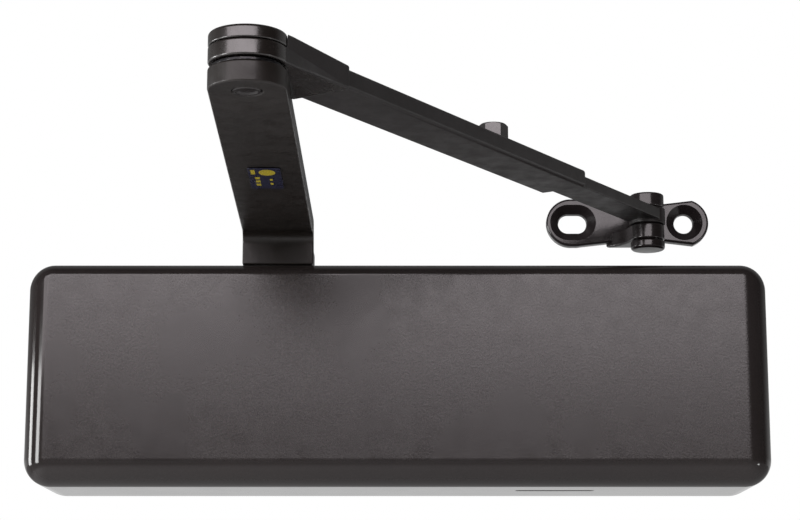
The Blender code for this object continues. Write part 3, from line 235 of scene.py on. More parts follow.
def keep_result(obj):
    """Gives obj the mesh that its modifiers make."""
    graph = bpy.context.evaluated_depsgraph_get()
    mesh = bpy.data.meshes.new_from_object(obj.evaluated_get(graph))
    obj.modifiers.clear()
    obj.data = mesh


def combine(obj, operation, *meshes):
    for mesh in meshes:
        other = bpy.data.objects.new("tool", mesh)
        bpy.context.scene.collection.objects.link(other)
        boolean = obj.modifiers.new("combine", "BOOLEAN")
        boolean.operation = operation
        boolean.solver = "EXACT"
        boolean.object = other
        bpy.context.view_layer.update()
        keep_result(obj)
        bpy.data.objects.remove(other)


def clean(obj):
    """Welds what a cut leaves behind and joins the faces that lie in one plane."""
    bm = bmesh.new()
    bm.from_mesh(obj.data)
    bmesh.ops.remove_doubles(bm, verts=bm.verts, dist=0.00002)
    bmesh.ops.dissolve_limit(bm, angle_limit=math.radians(0.4), verts=bm.verts, edges=bm.edges)
    bmesh.ops.recalc_face_normals(bm, faces=bm.faces)
    bm.to_mesh(obj.data)
    bm.free()


def soften(obj, width, segments=3, angle=35):
    """Rounds the sharp edges."""
    clean(obj)
    bevel = obj.modifiers.new("edges", "BEVEL")
    bevel.width = width
    bevel.segments = segments
    bevel.limit_method = "ANGLE"
    bevel.angle_limit = math.radians(angle)
    bevel.miter_outer = "MITER_ARC"
    bpy.context.view_layer.update()
    keep_result(obj)


def make(name, mesh, placing, body, material, nodes):
    """A new piece, in place, that rides on a body and stands for CAD nodes."""
    obj = bpy.data.objects.new(name, mesh)
    mesh.transform(placing)
    bpy.context.scene.collection.objects.link(obj)
    obj["finish"] = material
    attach(obj, body)
    if nodes:
        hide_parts(*nodes)
    return obj


def shade(obj, angle=30):
    obj.data.shade_smooth()
    obj.data.set_sharp_from_angle(angle=math.radians(angle))
    normals = obj.modifiers.new("normals", "WEIGHTED_NORMAL")
    normals.weight = 60
    normals.keep_sharp = True
    obj.data.materials.clear()
    obj.data.materials.append(MATERIALS[obj["finish"]])


# Materials. Every one is procedural, in each piece's own coordinates.

class Graph:
    """A short way to write a material's nodes."""

    def __init__(self, name):
        self.material = bpy.data.materials.new(name)
        self.material.use_nodes = True
        self.tree = self.material.node_tree
        self.shader = self.tree.nodes["Principled BSDF"]
        self.place = self.node("ShaderNodeTexCoord").outputs["Object"]

    def node(self, kind, **values):
        node = self.tree.nodes.new(kind)
        for key, value in values.items():
            setattr(node, key, value)
        return node

    def link(self, source, target):
        self.tree.links.new(source, target)

    def feed(self, node, **inputs):
        for key, value in inputs.items():
            numbered = key[0] == "i" and key[1:].isdigit()
            socket = node.inputs[int(key[1:]) if numbered else key.replace("_", " ")]
            if isinstance(value, bpy.types.NodeSocket):
                self.link(value, socket)
            else:
                socket.default_value = value
        return node

    def noise(self, scale, detail=3.0, rough=0.5, stretch=(1, 1, 1), warp=0.0):
        mapping = self.feed(self.node("ShaderNodeMapping"), Vector=self.place, Scale=stretch)
        return self.feed(self.node("ShaderNodeTexNoise"), Vector=mapping.outputs[0], Scale=scale,
                         Detail=detail, Roughness=rough, Distortion=warp).outputs[0]

    def cells(self, scale, feature="F1", smooth=1.0):
        cells = self.node("ShaderNodeTexVoronoi", feature=feature)
        self.feed(cells, Vector=self.place, Scale=scale)
        if feature == "SMOOTH_F1":
            self.feed(cells, Smoothness=smooth)
        return cells.outputs["Distance"]

    def span(self, value, low, high, to_low=0.0, to_high=1.0):
        ranged = self.node("ShaderNodeMapRange", interpolation_type="SMOOTHSTEP")
        return self.feed(ranged, Value=value, From_Min=low, From_Max=high, To_Min=to_low,
                         To_Max=to_high).outputs[0]

    def maths(self, operation, one, other):
        return self.feed(self.node("ShaderNodeMath", operation=operation), i0=one, i1=other).outputs[0]

    def mix(self, share, one, other):
        mix = self.node("ShaderNodeMix", data_type="RGBA")
        return self.feed(mix, i0=share, i6=one, i7=other).outputs[2]

    def bump(self, height, distance, strength=1.0, onto=None):
        bump = self.feed(self.node("ShaderNodeBump"), Height=height, Distance=distance, Strength=strength)
        if onto is not None:
            self.link(onto, bump.inputs["Normal"])
        return bump.outputs[0]

    def edges(self, radius, low=0.005, high=0.12):
        """1 on edges that stand out or in, from how far a rounded normal leans from the true one."""
        rounded = self.node("ShaderNodeBevel", samples=4)
        self.feed(rounded, Radius=radius)
        true = self.node("ShaderNodeNewGeometry").outputs["Normal"]
        dot = self.node("ShaderNodeVectorMath", operation="DOT_PRODUCT")
        self.feed(dot, i0=rounded.outputs[0], i1=true)
        return self.span(self.maths("SUBTRACT", 1.0, dot.outputs["Value"]), low, high)


def rgb(red, green, blue):
    return (red, green, blue, 1.0)


def coated(name, colour, patch, roughness, grain, depth, wear_colour, wear=0.5, metallic=0.0, coat=0.0,
           cast=0.0, rust=None, specular=0.5):
    """Paint, plating or plastic over a body: patchy colour, fine grain, a cast skin and worn edges."""
    g = Graph(name)
    patches = g.span(g.noise(38, 4, 0.6), 0.35, 0.7)
    fine = g.noise(grain, 3, 0.6)
    dust = g.span(g.noise(grain * 0.4, 5, 0.7), 0.58, 0.8)
    worn = g.maths("MULTIPLY", g.edges(0.0007), g.span(g.noise(700, 5, 0.65), 0.42, 0.66, 0.0, wear))
    base = g.mix(patches, colour, patch)
    pale = tuple(min(1.0, c * 1.7) for c in colour[:3]) + (1.0,)
    base = g.mix(g.maths("MULTIPLY", dust, 0.25), base, pale)
    if rust:
        base = g.mix(g.span(g.noise(90, 6, 0.7, warp=0.6), 0.56, 0.72, 0, 0.55), base, rust)
    g.link(g.mix(worn, base, wear_colour), g.shader.inputs["Base Color"])
    rough = g.span(g.noise(120, 4, 0.6), 0.3, 0.7, roughness * 0.82, roughness * 1.2)
    g.link(g.maths("ADD", rough, g.maths("MULTIPLY", worn, 0.12)), g.shader.inputs["Roughness"])
    skin = g.bump(fine, depth, 0.6)
    if cast:
        skin = g.bump(g.noise(420, 4, 0.55), cast, 0.7, skin)
        skin = g.bump(g.noise(110, 2, 0.5), cast * 2.5, 0.5, skin)
    g.link(skin, g.shader.inputs["Normal"])
    g.shader.inputs["Metallic"].default_value = metallic
    g.shader.inputs["Coat Weight"].default_value = coat
    g.shader.inputs["Coat Roughness"].default_value = 0.12
    g.shader.inputs["Specular IOR Level"].default_value = specular
    return g.material


def machined(name, colour, patch, roughness, stretch, depth=0.00003, metallic=1.0):
    """Turned or drawn metal, with fine marks along one way and a faint film of oil."""
    g = Graph(name)
    marks = g.noise(900, 3, 0.6, stretch)
    broad = g.span(g.noise(60, 4, 0.6), 0.35, 0.7)
    g.link(g.mix(broad, colour, patch), g.shader.inputs["Base Color"])
    g.link(g.span(marks, 0.3, 0.7, roughness * 0.75, roughness * 1.3), g.shader.inputs["Roughness"])
    g.link(g.bump(g.noise(160, 3, 0.5), depth, 0.4, g.bump(marks, depth, 0.7)), g.shader.inputs["Normal"])
    g.shader.inputs["Metallic"].default_value = metallic
    return g.material


def cover_plastic():
    """Moulded bronze plastic: a pebbled front panel inside smooth glossy rounded edges."""
    g = Graph("cover_plastic")
    across = g.node("ShaderNodeSeparateXYZ")
    g.link(g.place, across.inputs[0])
    panel = g.span(across.outputs["Y"], COVER_LOW.y + 0.00035, COVER_LOW.y + 0.00008)
    pebbles = g.cells(1250, "SMOOTH_F1", 0.6)
    fine = g.noise(3200, 3, 0.6)
    broad = g.span(g.noise(16, 3, 0.55), 0.3, 0.72)
    flow = g.span(g.noise(9, 2, 0.5, (1.0, 1.0, 2.4), 0.5), 0.35, 0.7)
    colour = g.mix(broad, rgb(0.0185, 0.0152, 0.0148), rgb(0.0230, 0.0190, 0.0180))
    colour = g.mix(g.maths("MULTIPLY", flow, 0.35), colour, rgb(0.0225, 0.0198, 0.0205))
    colour = g.mix(g.span(pebbles, 0.25, 0.6, 0.0, 0.30), colour, rgb(0.0115, 0.0098, 0.0095))
    # Painted highlight: every sharp edge, out or in, is lightened towards a pale bronze, standing for the
    # thin bright line along the rims.
    colour = g.mix(g.maths("MULTIPLY", g.edges(0.0006, 0.02, 0.3), 0.35), colour, rgb(0.060, 0.055, 0.054))
    g.link(colour, g.shader.inputs["Base Color"])
    smooth = g.span(g.noise(70, 4, 0.6), 0.3, 0.7, 0.085, 0.115)
    pebbled = g.span(g.noise(120, 4, 0.6), 0.3, 0.7, 0.21, 0.26)
    blend = g.node("ShaderNodeMix", data_type="FLOAT")
    g.feed(blend, i0=panel, i2=smooth, i3=pebbled)
    g.link(blend.outputs[0], g.shader.inputs["Roughness"])
    height = g.node("ShaderNodeMix", data_type="FLOAT")
    g.feed(height, i0=panel, i2=g.maths("MULTIPLY", fine, 0.12), i3=g.maths("ADD", pebbles, fine))
    g.link(g.bump(height.outputs[0], 0.00003, 0.5), g.shader.inputs["Normal"])
    g.link(g.span(panel, 0.0, 1.0, 0.44, 0.62), g.shader.inputs["Specular IOR Level"])
    return g.material


WORN_PAINT = rgb(0.10, 0.093, 0.092)
STEEL, OILED_STEEL = rgb(0.50, 0.50, 0.51), rgb(0.60, 0.59, 0.58)

MATERIALS = {
    "cover": cover_plastic(),
    "arm_paint": coated("arm_paint", rgb(0.0100, 0.0076, 0.0062), rgb(0.0150, 0.0120, 0.0108),
                        roughness=0.25, grain=2600, depth=0.00002, wear_colour=WORN_PAINT, coat=0.3,
                        cast=0.00003, specular=0.85),
    "cast_paint": coated("cast_paint", rgb(0.0095, 0.0070, 0.0056), rgb(0.0150, 0.0118, 0.0102),
                         roughness=0.42, grain=1800, depth=0.00005, wear_colour=WORN_PAINT, coat=0.1,
                         cast=0.00006, specular=0.42),
    "tube_paint": coated("tube_paint", rgb(0.0135, 0.0112, 0.0108), rgb(0.0190, 0.0160, 0.0160),
                         roughness=0.40, grain=2600, depth=0.00004, wear_colour=rgb(0.10, 0.093, 0.096),
                         coat=0.05, cast=0.00003),
    "shoe_paint": coated("shoe_paint", rgb(0.0140, 0.0115, 0.0112), rgb(0.0200, 0.0170, 0.0178),
                         roughness=0.20, grain=2000, depth=0.00002, wear_colour=rgb(0.10, 0.09, 0.09),
                         coat=0.15, cast=0.00006),
    "cast_iron": coated("cast_iron", rgb(0.055, 0.053, 0.052), rgb(0.085, 0.082, 0.080),
                        roughness=0.55, grain=1500, depth=0.00009, wear_colour=rgb(0.28, 0.27, 0.26),
                        wear=0.6, metallic=0.5, cast=0.00010, rust=rgb(0.09, 0.055, 0.035)),
    "black_oxide": coated("black_oxide", rgb(0.020, 0.020, 0.022), rgb(0.034, 0.033, 0.035),
                          roughness=0.33, grain=2600, depth=0.00002, wear_colour=rgb(0.30, 0.29, 0.28),
                          wear=0.6, metallic=0.85),
    "shaft_cap": coated("shaft_cap", rgb(0.05, 0.044, 0.045), rgb(0.062, 0.055, 0.056),
                        roughness=0.42, grain=2200, depth=0.00004, wear_colour=rgb(0.12, 0.11, 0.11),
                        wear=0.3),
    "steel_x": machined("steel_x", STEEL, OILED_STEEL, 0.27, (6, 0.4, 0.4)),
    "steel_z": machined("steel_z", STEEL, OILED_STEEL, 0.27, (0.4, 0.4, 6)),
    "spring_steel": machined("spring_steel", rgb(0.16, 0.16, 0.17), rgb(0.22, 0.21, 0.21), 0.33, (1, 1, 1)),
    "bronze_bush": machined("bronze_bush", rgb(0.42, 0.26, 0.10), rgb(0.48, 0.31, 0.14), 0.35,
                            (0.5, 0.5, 4)),
    "rubber": coated("rubber", rgb(0.018, 0.018, 0.018), rgb(0.026, 0.026, 0.026), roughness=0.62,
                     grain=1800, depth=0.00003, wear_colour=rgb(0.05, 0.05, 0.05), wear=0.3),
    "label_film": coated("label_film", rgb(0.012, 0.013, 0.034), rgb(0.016, 0.017, 0.042), roughness=0.30,
                         grain=2400, depth=0.00001, wear_colour=rgb(0.05, 0.05, 0.09), wear=0.3),
    "label_ink": coated("label_ink", rgb(0.42, 0.33, 0.020), rgb(0.34, 0.27, 0.018), roughness=0.42,
                        grain=2600, depth=0.00001, wear_colour=rgb(0.5, 0.42, 0.1), wear=0.2),
}


# The cover.

EDGE = 0.012
TOP_EDGE = 0.0065
WALL = 0.003
COVER_SCREW_Y = -0.020


def make_cover():
    low, high = COVER_LOW, COVER_HIGH
    mesh = box_mesh(low, (high.x, 0.0, high.z))
    bm = bmesh.new()
    bm.from_mesh(mesh)
    back = [face for face in bm.faces if face.normal.y > 0.5]
    bmesh.ops.delete(bm, geom=back, context="FACES_ONLY")
    edges = [edge for edge in bm.edges if not edge.is_boundary]
    bmesh.ops.bevel(bm, geom=edges, offset=EDGE, segments=16, profile=0.5, affect="EDGES")
    for vert in bm.verts:
        front = 1 - (vert.co.y - low.y) / EDGE
        if vert.co.z > 0 and front > 0:
            side = math.sqrt(max(0.0, 1 - front * front))
            vert.co.z += (EDGE - TOP_EDGE) * (1 - side)
    bm.to_mesh(mesh)
    bm.free()
    cover = make("cover_shell", mesh, Matrix.Identity(4), "closer", "cover", ["cover"])
    wall = cover.modifiers.new("wall", "SOLIDIFY")
    wall.thickness = WALL
    wall.offset = -1
    wall.use_even_offset = True
    bpy.context.view_layer.update()
    keep_result(cover)

    notch_radius, notch_reach = 0.0173, 0.04
    notch = [(notch_radius, notch_reach), (-notch_radius, notch_reach)]
    notch += arc((0, 0), notch_radius, 180, 360, 48)
    notch_mesh = prism_mesh(notch, high.z - 0.006, high.z + 0.002)
    notch_mesh.transform(ON_PINION)
    slot_x, half_slot, slot_radius = 0.0723, 0.0161, 0.0019
    slot = arc((half_slot, 0), slot_radius, -90, 90, 16) + arc((-half_slot, 0), slot_radius, 90, 270, 16)
    slot_mesh = prism_mesh(slot, low.z - 0.002, low.z + 0.006)
    slot_mesh.transform(at(slot_x, CYLINDER_Y))
    cuts = [notch_mesh, slot_mesh]
    head_radius, shank_radius, sink, deep = 0.0043, 0.0023, 0.002, 0.006
    for sign in (-1, 1):
        hole = lathe_mesh([(0, sink), (head_radius, sink), (head_radius, 0), (shank_radius, -sink),
                           (shank_radius, -deep), (0, -deep)], 48)
        hole.transform(end_placing(sign, high.x, COVER_SCREW_Y))
        cuts.append(hole)
    combine(cover, "DIFFERENCE", *cuts)
    soften(cover, 0.0003, 2, 50)
    shade(cover, 40)


def end_placing(sign, x, y=None):
    """Local +Z out of the closer's left (-1) or right (+1) end."""
    return at(sign * x, CYLINDER_Y if y is None else y, 0) @ Matrix.Rotation(math.radians(90 * sign), 4, "Y")


def make_cover_screws():
    for side, sign in (("left", -1), ("right", 1)):
        mesh = lathe_mesh([(0, -0.0001), (0.004, -0.0001, 0.0002), (0.002, -0.0021, 0.0002),
                           (0.002, -0.0107), (0.0014, -0.011), (0, -0.011)], 48)
        placing = end_placing(sign, COVER_HIGH.x, COVER_SCREW_Y)
        node = "cover_screw_" + side
        screw = make(node + "_head", mesh, placing, "closer", "black_oxide", [node])
        half_length, half_width = 0.0019, 0.00042
        recess = [(-half_length, -half_width), (half_length, -half_width),
                  (half_length, half_width), (-half_length, half_width)]
        cuts = []
        for turn in (45, 135):
            arm = prism_mesh(recess, -0.0013, 0.001)
            arm.transform(placing @ Matrix.Rotation(math.radians(turn), 4, "Z"))
            cuts.append(arm)
        combine(screw, "DIFFERENCE", *cuts)
        clean(screw)
        shade(screw)


# The closer's body and what closes its bores.

BORE = 0.019
CYLINDER_RADIUS = 0.0245
CYLINDER_END = 0.140
SCREW_X, SCREW_Z = 0.1524, 0.009525  # the body's four screws, from its middle
VALVES = ("closing_valve", "latch_valve", "backcheck_valve")


def placed(mesh, placing):
    mesh.transform(placing)
    return mesh


def make_body():
    end, half_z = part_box("closer_body")[1].x, 0.023
    base_end = COVER_HIGH.x - WALL - 0.004
    outline = fillet([(0, -half_z, 0), (base_end, -half_z, 0.003), (base_end, half_z, 0.003),
                      (-base_end, half_z, 0.003), (-base_end, -half_z, 0.003), (0, -half_z, 0)], 6)[:-1]
    base = placed(prism_mesh(outline, 0, 0.007, 0.0006), UPRIGHT)
    body = make("body_casting", base, Matrix.Identity(4), "closer", "cast_iron", ["closer_body"])
    saddle_end, saddle_back, saddle_half = CYLINDER_END - 0.0002, -0.0035, 0.0149
    saddle = box_mesh((-saddle_end, CYLINDER_Y, -saddle_half), (saddle_end, saddle_back, saddle_half))
    drum = placed(drum_mesh(CYLINDER_RADIUS, -CYLINDER_END, CYLINDER_END, 0.0012, 96), ON_CYLINDER)
    boss = placed(drum_mesh(0.0195, -0.031, 0.031, 0.0008, 80), ON_PINION)
    block = box_mesh((-0.128, CYLINDER_Y - 0.0115, -0.0335), (-0.084, CYLINDER_Y + 0.0115, 0), 0.0012)
    joined = [saddle, drum, boss, block]
    for sign in (-1, 1):
        inner, outer = sorted((sign * (end - 0.0072), sign * end))
        joined.append(box_mesh((inner, -0.025, -0.007), (outer, saddle_back, 0.007), 0.0008))
    combine(body, "UNION", *joined)
    shaft_steps = ((0.0112, -0.0225, 0.0225), (0.015, 0.0215, 0.033), (0.015, -0.033, -0.0215))
    cuts = [placed(drum_mesh(radius, low, high, 0, 80), ON_PINION) for radius, low, high in shaft_steps]
    # The bore is turned a little, so that its facets don't line up with those of the other cutters.
    cuts.append(placed(drum_mesh(BORE, -0.15, 0.15, 0, 96), ON_CYLINDER @ Matrix.Rotation(0.017, 4, "Z")))
    for x in (-SCREW_X, SCREW_X):
        for z in (-SCREW_Z, SCREW_Z):
            hole = lathe_mesh([(0, 0.009), (0.0035, 0.009), (0.0035, 0.0006), (0.0047, -0.0006),
                               (0, -0.0006)], 40)
            cuts.append(placed(hole, at(x, 0, z) @ UPRIGHT))
    for node in VALVES:
        x = middle(node).x
        hole = lathe_mesh([(0, -0.018), (0.0012, -0.018), (0.0012, -0.0261), (0.0033, -0.0264),
                           (0.0033, -0.0330), (0.0039, -0.0336), (0.0039, -0.0345), (0, -0.0345)], 40)
        cuts.append(placed(hole, at(x, CYLINDER_Y)))
    for sign in (-1, 1):
        screw_hole = drum_mesh(0.0023, -0.011, 0, 0, 32)
        cuts.append(placed(screw_hole, end_placing(sign, COVER_HIGH.x - GAP, COVER_SCREW_Y)))
    combine(body, "DIFFERENCE", *cuts)
    clean(body)
    shade(body)


def make_end_plugs():
    for side, sign in (("left", -1), ("right", 1)):
        placing = end_placing(sign, CYLINDER_END)
        node = side + "_end_plug"
        mesh = lathe_mesh([(0, 0.0053), (0.021, 0.0053, 0.0003), (0.022, 0.0043, 0.0003),
                           (0.022, 0.0003, 0.0002), (0.0187, 0.0003), (0.0187, -0.005), (0.0167, -0.005),
                           (0.0167, -0.007), (0.0187, -0.007), (0.0187, -0.012, 0.0005), (0, -0.012)], 80)
        plug = make(node + "_turned", mesh, placing, "closer", "steel_x", [node])
        if side == "right":
            tool = drum_mesh(0.0048, -0.013, 0.007, 0, 48)
        else:
            tool = prism_mesh(hexagon(0.010), 0.0025, 0.007)
        combine(plug, "DIFFERENCE", placed(tool, placing))
        clean(plug)
        shade(plug)


def make_shaft_parts():
    for side, facing in (("upper", Matrix.Identity(4)), ("lower", TURN_OVER)):
        placing = ON_PINION @ facing
        nut_low, nut_top = 0.0313, 0.0363
        nut = make(side + "_nut", prism_mesh(hexagon(0.034), nut_low, nut_top), placing, "closer",
                   "steel_z", [side + "_bearing_nut"])
        crown = lathe_mesh([(0, nut_top), (0.0168, nut_top), (0.0198, 0.0348), (0.0198, nut_low),
                            (0, nut_low)], 96)
        combine(nut, "INTERSECT", placed(crown, placing))
        combine(nut, "UNION", placed(drum_mesh(0.0147, 0.0283, 0.0353, 0, 80), placing))
        bore = lathe_mesh([(0, 0.0373), (0.0098, 0.0373), (0.0098, 0.0366), (0.0093, 0.0360),
                           (0.0093, 0.0330), (0.0120, 0.0330), (0.0120, 0.0270), (0, 0.0270)], 64)
        combine(nut, "DIFFERENCE", placed(bore, placing))
        clean(nut)
        shade(nut)
        seal = lathe_mesh([(0.0090, 0.0327), (0.0098, 0.0320, 0.0002), (0.0117, 0.0327, 0.0003),
                           (0.0117, 0.0286, 0.0003), (0.0090, 0.0286, 0.0003)], 64, True)
        shade(make(side + "_lip_seal", seal, placing, "closer", "rubber",
                   [side + "_shaft_seal"]))
        ring = lathe_mesh([(0.0090, 0.0280, 0.0003), (0.0147, 0.0280, 0.0004), (0.0147, 0.0218, 0.0004),
                           (0.0090, 0.0218, 0.0003)], 64, True)
        shade(make(side + "_bearing_ring", ring, placing, "closer", "steel_z",
                   [side + "_shaft_bearing"]))
    cap = lathe_mesh([(0, -0.0463), (0.0081, -0.0463), (0.0081, -0.0366), (0.0096, -0.0366, 0.0003),
                      (0.0096, -0.0475, 0.0006), (0, -0.0475)], 64)
    shade(make("shaft_end_cap", cap, ON_PINION, "lever", "shaft_cap", ["lower_shaft_cap"]))


def make_adjusters():
    head = 0.1456
    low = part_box("power_adjusting_screw")[0].x
    shank, stop_low, stop_high = 0.0045, 0.1247, 0.1277
    mesh = lathe_mesh([(0, head + 0.005), (0.007, head + 0.005, 0.0007), (0.007, head, 0.0003), (shank, head),
                       (shank, stop_high), (0.008, stop_high, 0.0003), (0.008, stop_low, 0.0003),
                       (shank, stop_low), (shank, low + 0.001), (0.0035, low), (0, low)], 56)
    screw = make("power_screw", mesh, ON_CYLINDER, "power_screw", "black_oxide",
                 ["power_adjusting_screw"])
    combine(screw, "DIFFERENCE", placed(prism_mesh(hexagon(0.007), head + 0.002, head + 0.006), ON_CYLINDER))
    clean(screw)
    shade(screw)
    for node in VALVES:
        placing = at(middle(node).x, CYLINDER_Y)
        mesh = lathe_mesh([(0, -0.0267), (0.0008, -0.0267, 0.0002), (0.003, -0.0279, 0.0002),
                           (0.003, -0.0287), (0.0019, -0.0287), (0.0019, -0.0301), (0.003, -0.0301),
                           (0.003, -0.0335, 0.0004), (0, -0.0335)], 48)
        valve = make(node + "_turned", mesh, placing, node, "steel_z", [node])
        combine(valve, "DIFFERENCE", placed(prism_mesh(hexagon(0.0026), -0.0345, -0.0317), placing))
        clean(valve)
        shade(valve)


# The closing spring, made as one fixed coil: it is not tied to the piston or to the closer.

def make_spring():
    low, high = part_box("closing_spring")
    wire, turns, steps, sides = 0.0026, 10, 40, 10
    coil = (high.y - low.y) / 2 - wire
    start, end = low.x + wire, high.x - wire
    slope = (end - start) / (2 * math.pi * turns)
    bm = bmesh.new()
    rings = []
    for i in range(turns * steps + 1):
        turn = 2 * math.pi * i / steps
        out = Vector((0, math.cos(turn), math.sin(turn)))
        along = Vector((slope, -coil * math.sin(turn), coil * math.cos(turn))).normalized()
        side = along.cross(out)
        centre = Vector((start + slope * turn, CYLINDER_Y, 0)) + out * coil
        rings.append([bm.verts.new(centre + wire * (out * math.cos(a) + side * math.sin(a)))
                      for a in (2 * math.pi * j / sides for j in range(sides))])
    for one, other in zip(rings, rings[1:]):
        for j in range(sides):
            k = (j + 1) % sides
            bm.faces.new((one[j], one[k], other[k], other[j]))
    bm.faces.new(rings[0][::-1])
    bm.faces.new(rings[-1])
    spring = bpy.data.objects.new("spring_coil", mesh_of(bm))
    bpy.context.scene.collection.objects.link(spring)
    spring["finish"] = "spring_steel"
    shade(spring)
    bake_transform(spring)
    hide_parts("closing_spring")


# The main arm.

HUB_RADIUS = 0.0165
ELBOW_RADIUS = 0.014
HUB_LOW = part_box("main_arm")[0].z
LEVER_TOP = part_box("main_arm")[1].z
LEVER_THICKNESS = 0.0078
LEVER_LOW = LEVER_TOP - LEVER_THICKNESS
FOOT_THICKNESS = 0.0082
FOOT_LOW = COVER_HIGH.z + 0.001
FOOT_TOP = FOOT_LOW + FOOT_THICKNESS
BEND = 0.0185


def make_main_arm():
    lean = math.degrees(math.asin((HUB_RADIUS - ELBOW_RADIUS) / LEVER_LENGTH))
    plan = arc((0, 0), HUB_RADIUS, 90 - lean, 270 + lean, 48)
    plan += arc((LEVER_LENGTH, 0), ELBOW_RADIUS, -90 + lean, 90 - lean, 48)
    arm = make("arm_casting", prism_mesh(plan, FOOT_LOW - 0.002, LEVER_TOP + 0.002), ON_LEVER, "lever",
               "cast_paint", ["main_arm"])
    rear, front = -HUB_RADIUS - 0.002, LEVER_LENGTH + ELBOW_RADIUS + 0.002
    web = BEND - 0.0085
    side = [(rear, FOOT_LOW), (BEND, FOOT_LOW)] + arc((BEND + 0.005, LEVER_LOW - 0.005), 0.005, 180, 90, 12)
    side += [(front, LEVER_LOW), (front, LEVER_TOP)]
    side += arc((web + 0.006, LEVER_TOP - 0.004), 0.004, 90, 150, 10)
    side += [(web, FOOT_TOP), (rear, FOOT_TOP)]
    side_mesh = placed(prism_mesh(side, -0.019, 0.019), ON_LEVER @ UPRIGHT)
    combine(arm, "INTERSECT", side_mesh)
    soften(arm, 0.0007, 3, 38)
    hub = placed(drum_mesh(HUB_RADIUS, HUB_LOW, FOOT_TOP - 0.001, 0.0006, 96), ON_LEVER)
    combine(arm, "UNION", hub)
    half = 0.0058
    square = placed(box_mesh((-half, -half, HUB_LOW - 0.001), (half, half, 0.0463)), ON_LEVER)
    hole = placed(drum_mesh(0.003, 0.045, FOOT_TOP + 0.001, 0, 40), ON_LEVER)
    pin_hole = placed(lathe_mesh([(0, LEVER_TOP + 0.001), (0.0055, LEVER_TOP + 0.001),
                                  (0.0055, LEVER_LOW + 0.0004), (0.0060, LEVER_LOW - 0.0001),
                                  (0.0060, LEVER_LOW - 0.001), (0, LEVER_LOW - 0.001)], 64), ON_ELBOW)
    combine(arm, "DIFFERENCE", square, hole, pin_hole)
    clean(arm)
    shade(arm)


def make_arm_screw():
    washer = lathe_mesh([(0.003, FOOT_TOP + 0.0015), (0.009, FOOT_TOP + 0.0015, 0.0003),
                         (0.009, FOOT_TOP + GAP, 0.0003), (0.003, FOOT_TOP + GAP)], 64, True)
    shade(make("arm_washer", washer, ON_LEVER, "lever", "black_oxide", ["arm_screw_washer"]))
    low = FOOT_TOP + 0.0018
    top = low + 0.0055
    screw = make("arm_bolt", prism_mesh(hexagon(0.013), low, top), ON_LEVER, "lever",
                 "black_oxide", ["arm_screw"])
    crown = lathe_mesh([(0, top), (0.0063, top, 0.0003), (0.0077, top - 0.0008), (0.0077, low + 0.0004),
                        (0.0068, low), (0, low)], 72)
    combine(screw, "INTERSECT", placed(crown, ON_LEVER))
    combine(screw, "UNION", placed(drum_mesh(0.0027, 0.038, low + 0.001, 0.0, 40), ON_LEVER))
    clean(screw)
    shade(screw)


def make_label():
    top = LEVER_LOW - GAP
    half_length, half_width = 0.0173, 0.0067
    centre = at(0.1275, 0, 0)
    corners = [(0, -half_width, 0), (half_length, -half_width, 0.001), (half_length, half_width, 0.001),
               (-half_length, half_width, 0.001), (-half_length, -half_width, 0.001), (0, -half_width, 0)]
    film = prism_mesh(fillet(corners, 5)[:-1], top - 0.0003, top, 0.00008, 2)
    shade(make("label_film", film, ON_LEVER @ centre, "lever", "label_film", ["arm_label"]))
    low_mark, high_mark = top - 0.00034, top - 0.00028
    oval = [(0.0105 + 0.0048 * x, 0.0010 + 0.0034 * y) for x, y in arc((0, 0), 1, 0, 345, 23)]
    marks = [prism_mesh(oval, low_mark, high_mark)]
    for x, y, length, width in ((0.0114, -0.0047, 0.0072, 0.0017), (0.0012, -0.0033, 0.0034, 0.0019),
                                (-0.0044, -0.0033, 0.0034, 0.0019), (-0.0100, -0.0033, 0.0034, 0.0019),
                                (-0.0015, 0.0022, 0.0030, 0.0012), (-0.0085, 0.0022, 0.0030, 0.0012)):
        marks.append(box_mesh((x - length / 2, y - width / 2, low_mark),
                              (x + length / 2, y + width / 2, high_mark)))
    shade(make("label_marks", merged(*marks), ON_LEVER @ centre, "lever", "label_ink", []))


# The elbow, forearm, rod and clamp bolt.

FOREARM_LOW, CAP_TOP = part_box("forearm_tube")[0].z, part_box("elbow_cap")[1].z
HEAD_TOP = FOREARM_LOW + 0.006
CAP_LOW = HEAD_TOP + GAP
TUBE_LOW = FOREARM_LOW + 0.001
TUBE_TOP = TUBE_LOW + 0.0078
ROD_LEVEL = (TUBE_LOW + TUBE_TOP) / 2
EYE_LOW = FOREARM_LOW + 0.0006
EYE_TOP = EYE_LOW + 0.0076
BLOCK_HALF = 0.013
BLOCK_END = 0.045
TUBE_HALF = 0.0113
TUBE_END = 0.231


def make_elbow():
    cap = lathe_mesh([(0, CAP_TOP), (ELBOW_RADIUS, CAP_TOP, 0.0012), (ELBOW_RADIUS, CAP_LOW, 0.0005),
                      (0.0125, CAP_LOW), (0.0125, CAP_TOP - 0.0015), (0, CAP_TOP - 0.0015)], 96)
    shade(make("elbow_cover", cap, ON_ELBOW, "forearm", "arm_paint", ["elbow_cap"]))
    washer = lathe_mesh([(0.0055, LEVER_TOP + 0.0015), (0.0125, LEVER_TOP + 0.0015, 0.0003),
                         (0.0125, LEVER_TOP + 0.0003, 0.0003), (0.0055, LEVER_TOP + 0.0003)], 80, True)
    shade(make("elbow_spacer", washer, ON_ELBOW, "lever", "black_oxide", ["elbow_washer"]))
    pin = lathe_mesh([(0, CAP_LOW + 0.0022), (0.008, CAP_LOW + 0.0022, 0.0005), (0.008, CAP_LOW),
                      (0.0052, CAP_LOW), (0.0052, LEVER_LOW, 0.0006), (0.0040, LEVER_LOW),
                      (0.0034, LEVER_LOW + 0.0005), (0, LEVER_LOW + 0.0006)], 64)
    shade(make("elbow_rivet", pin, ON_ELBOW, "lever", "shoe_paint", ["elbow_pin"]))


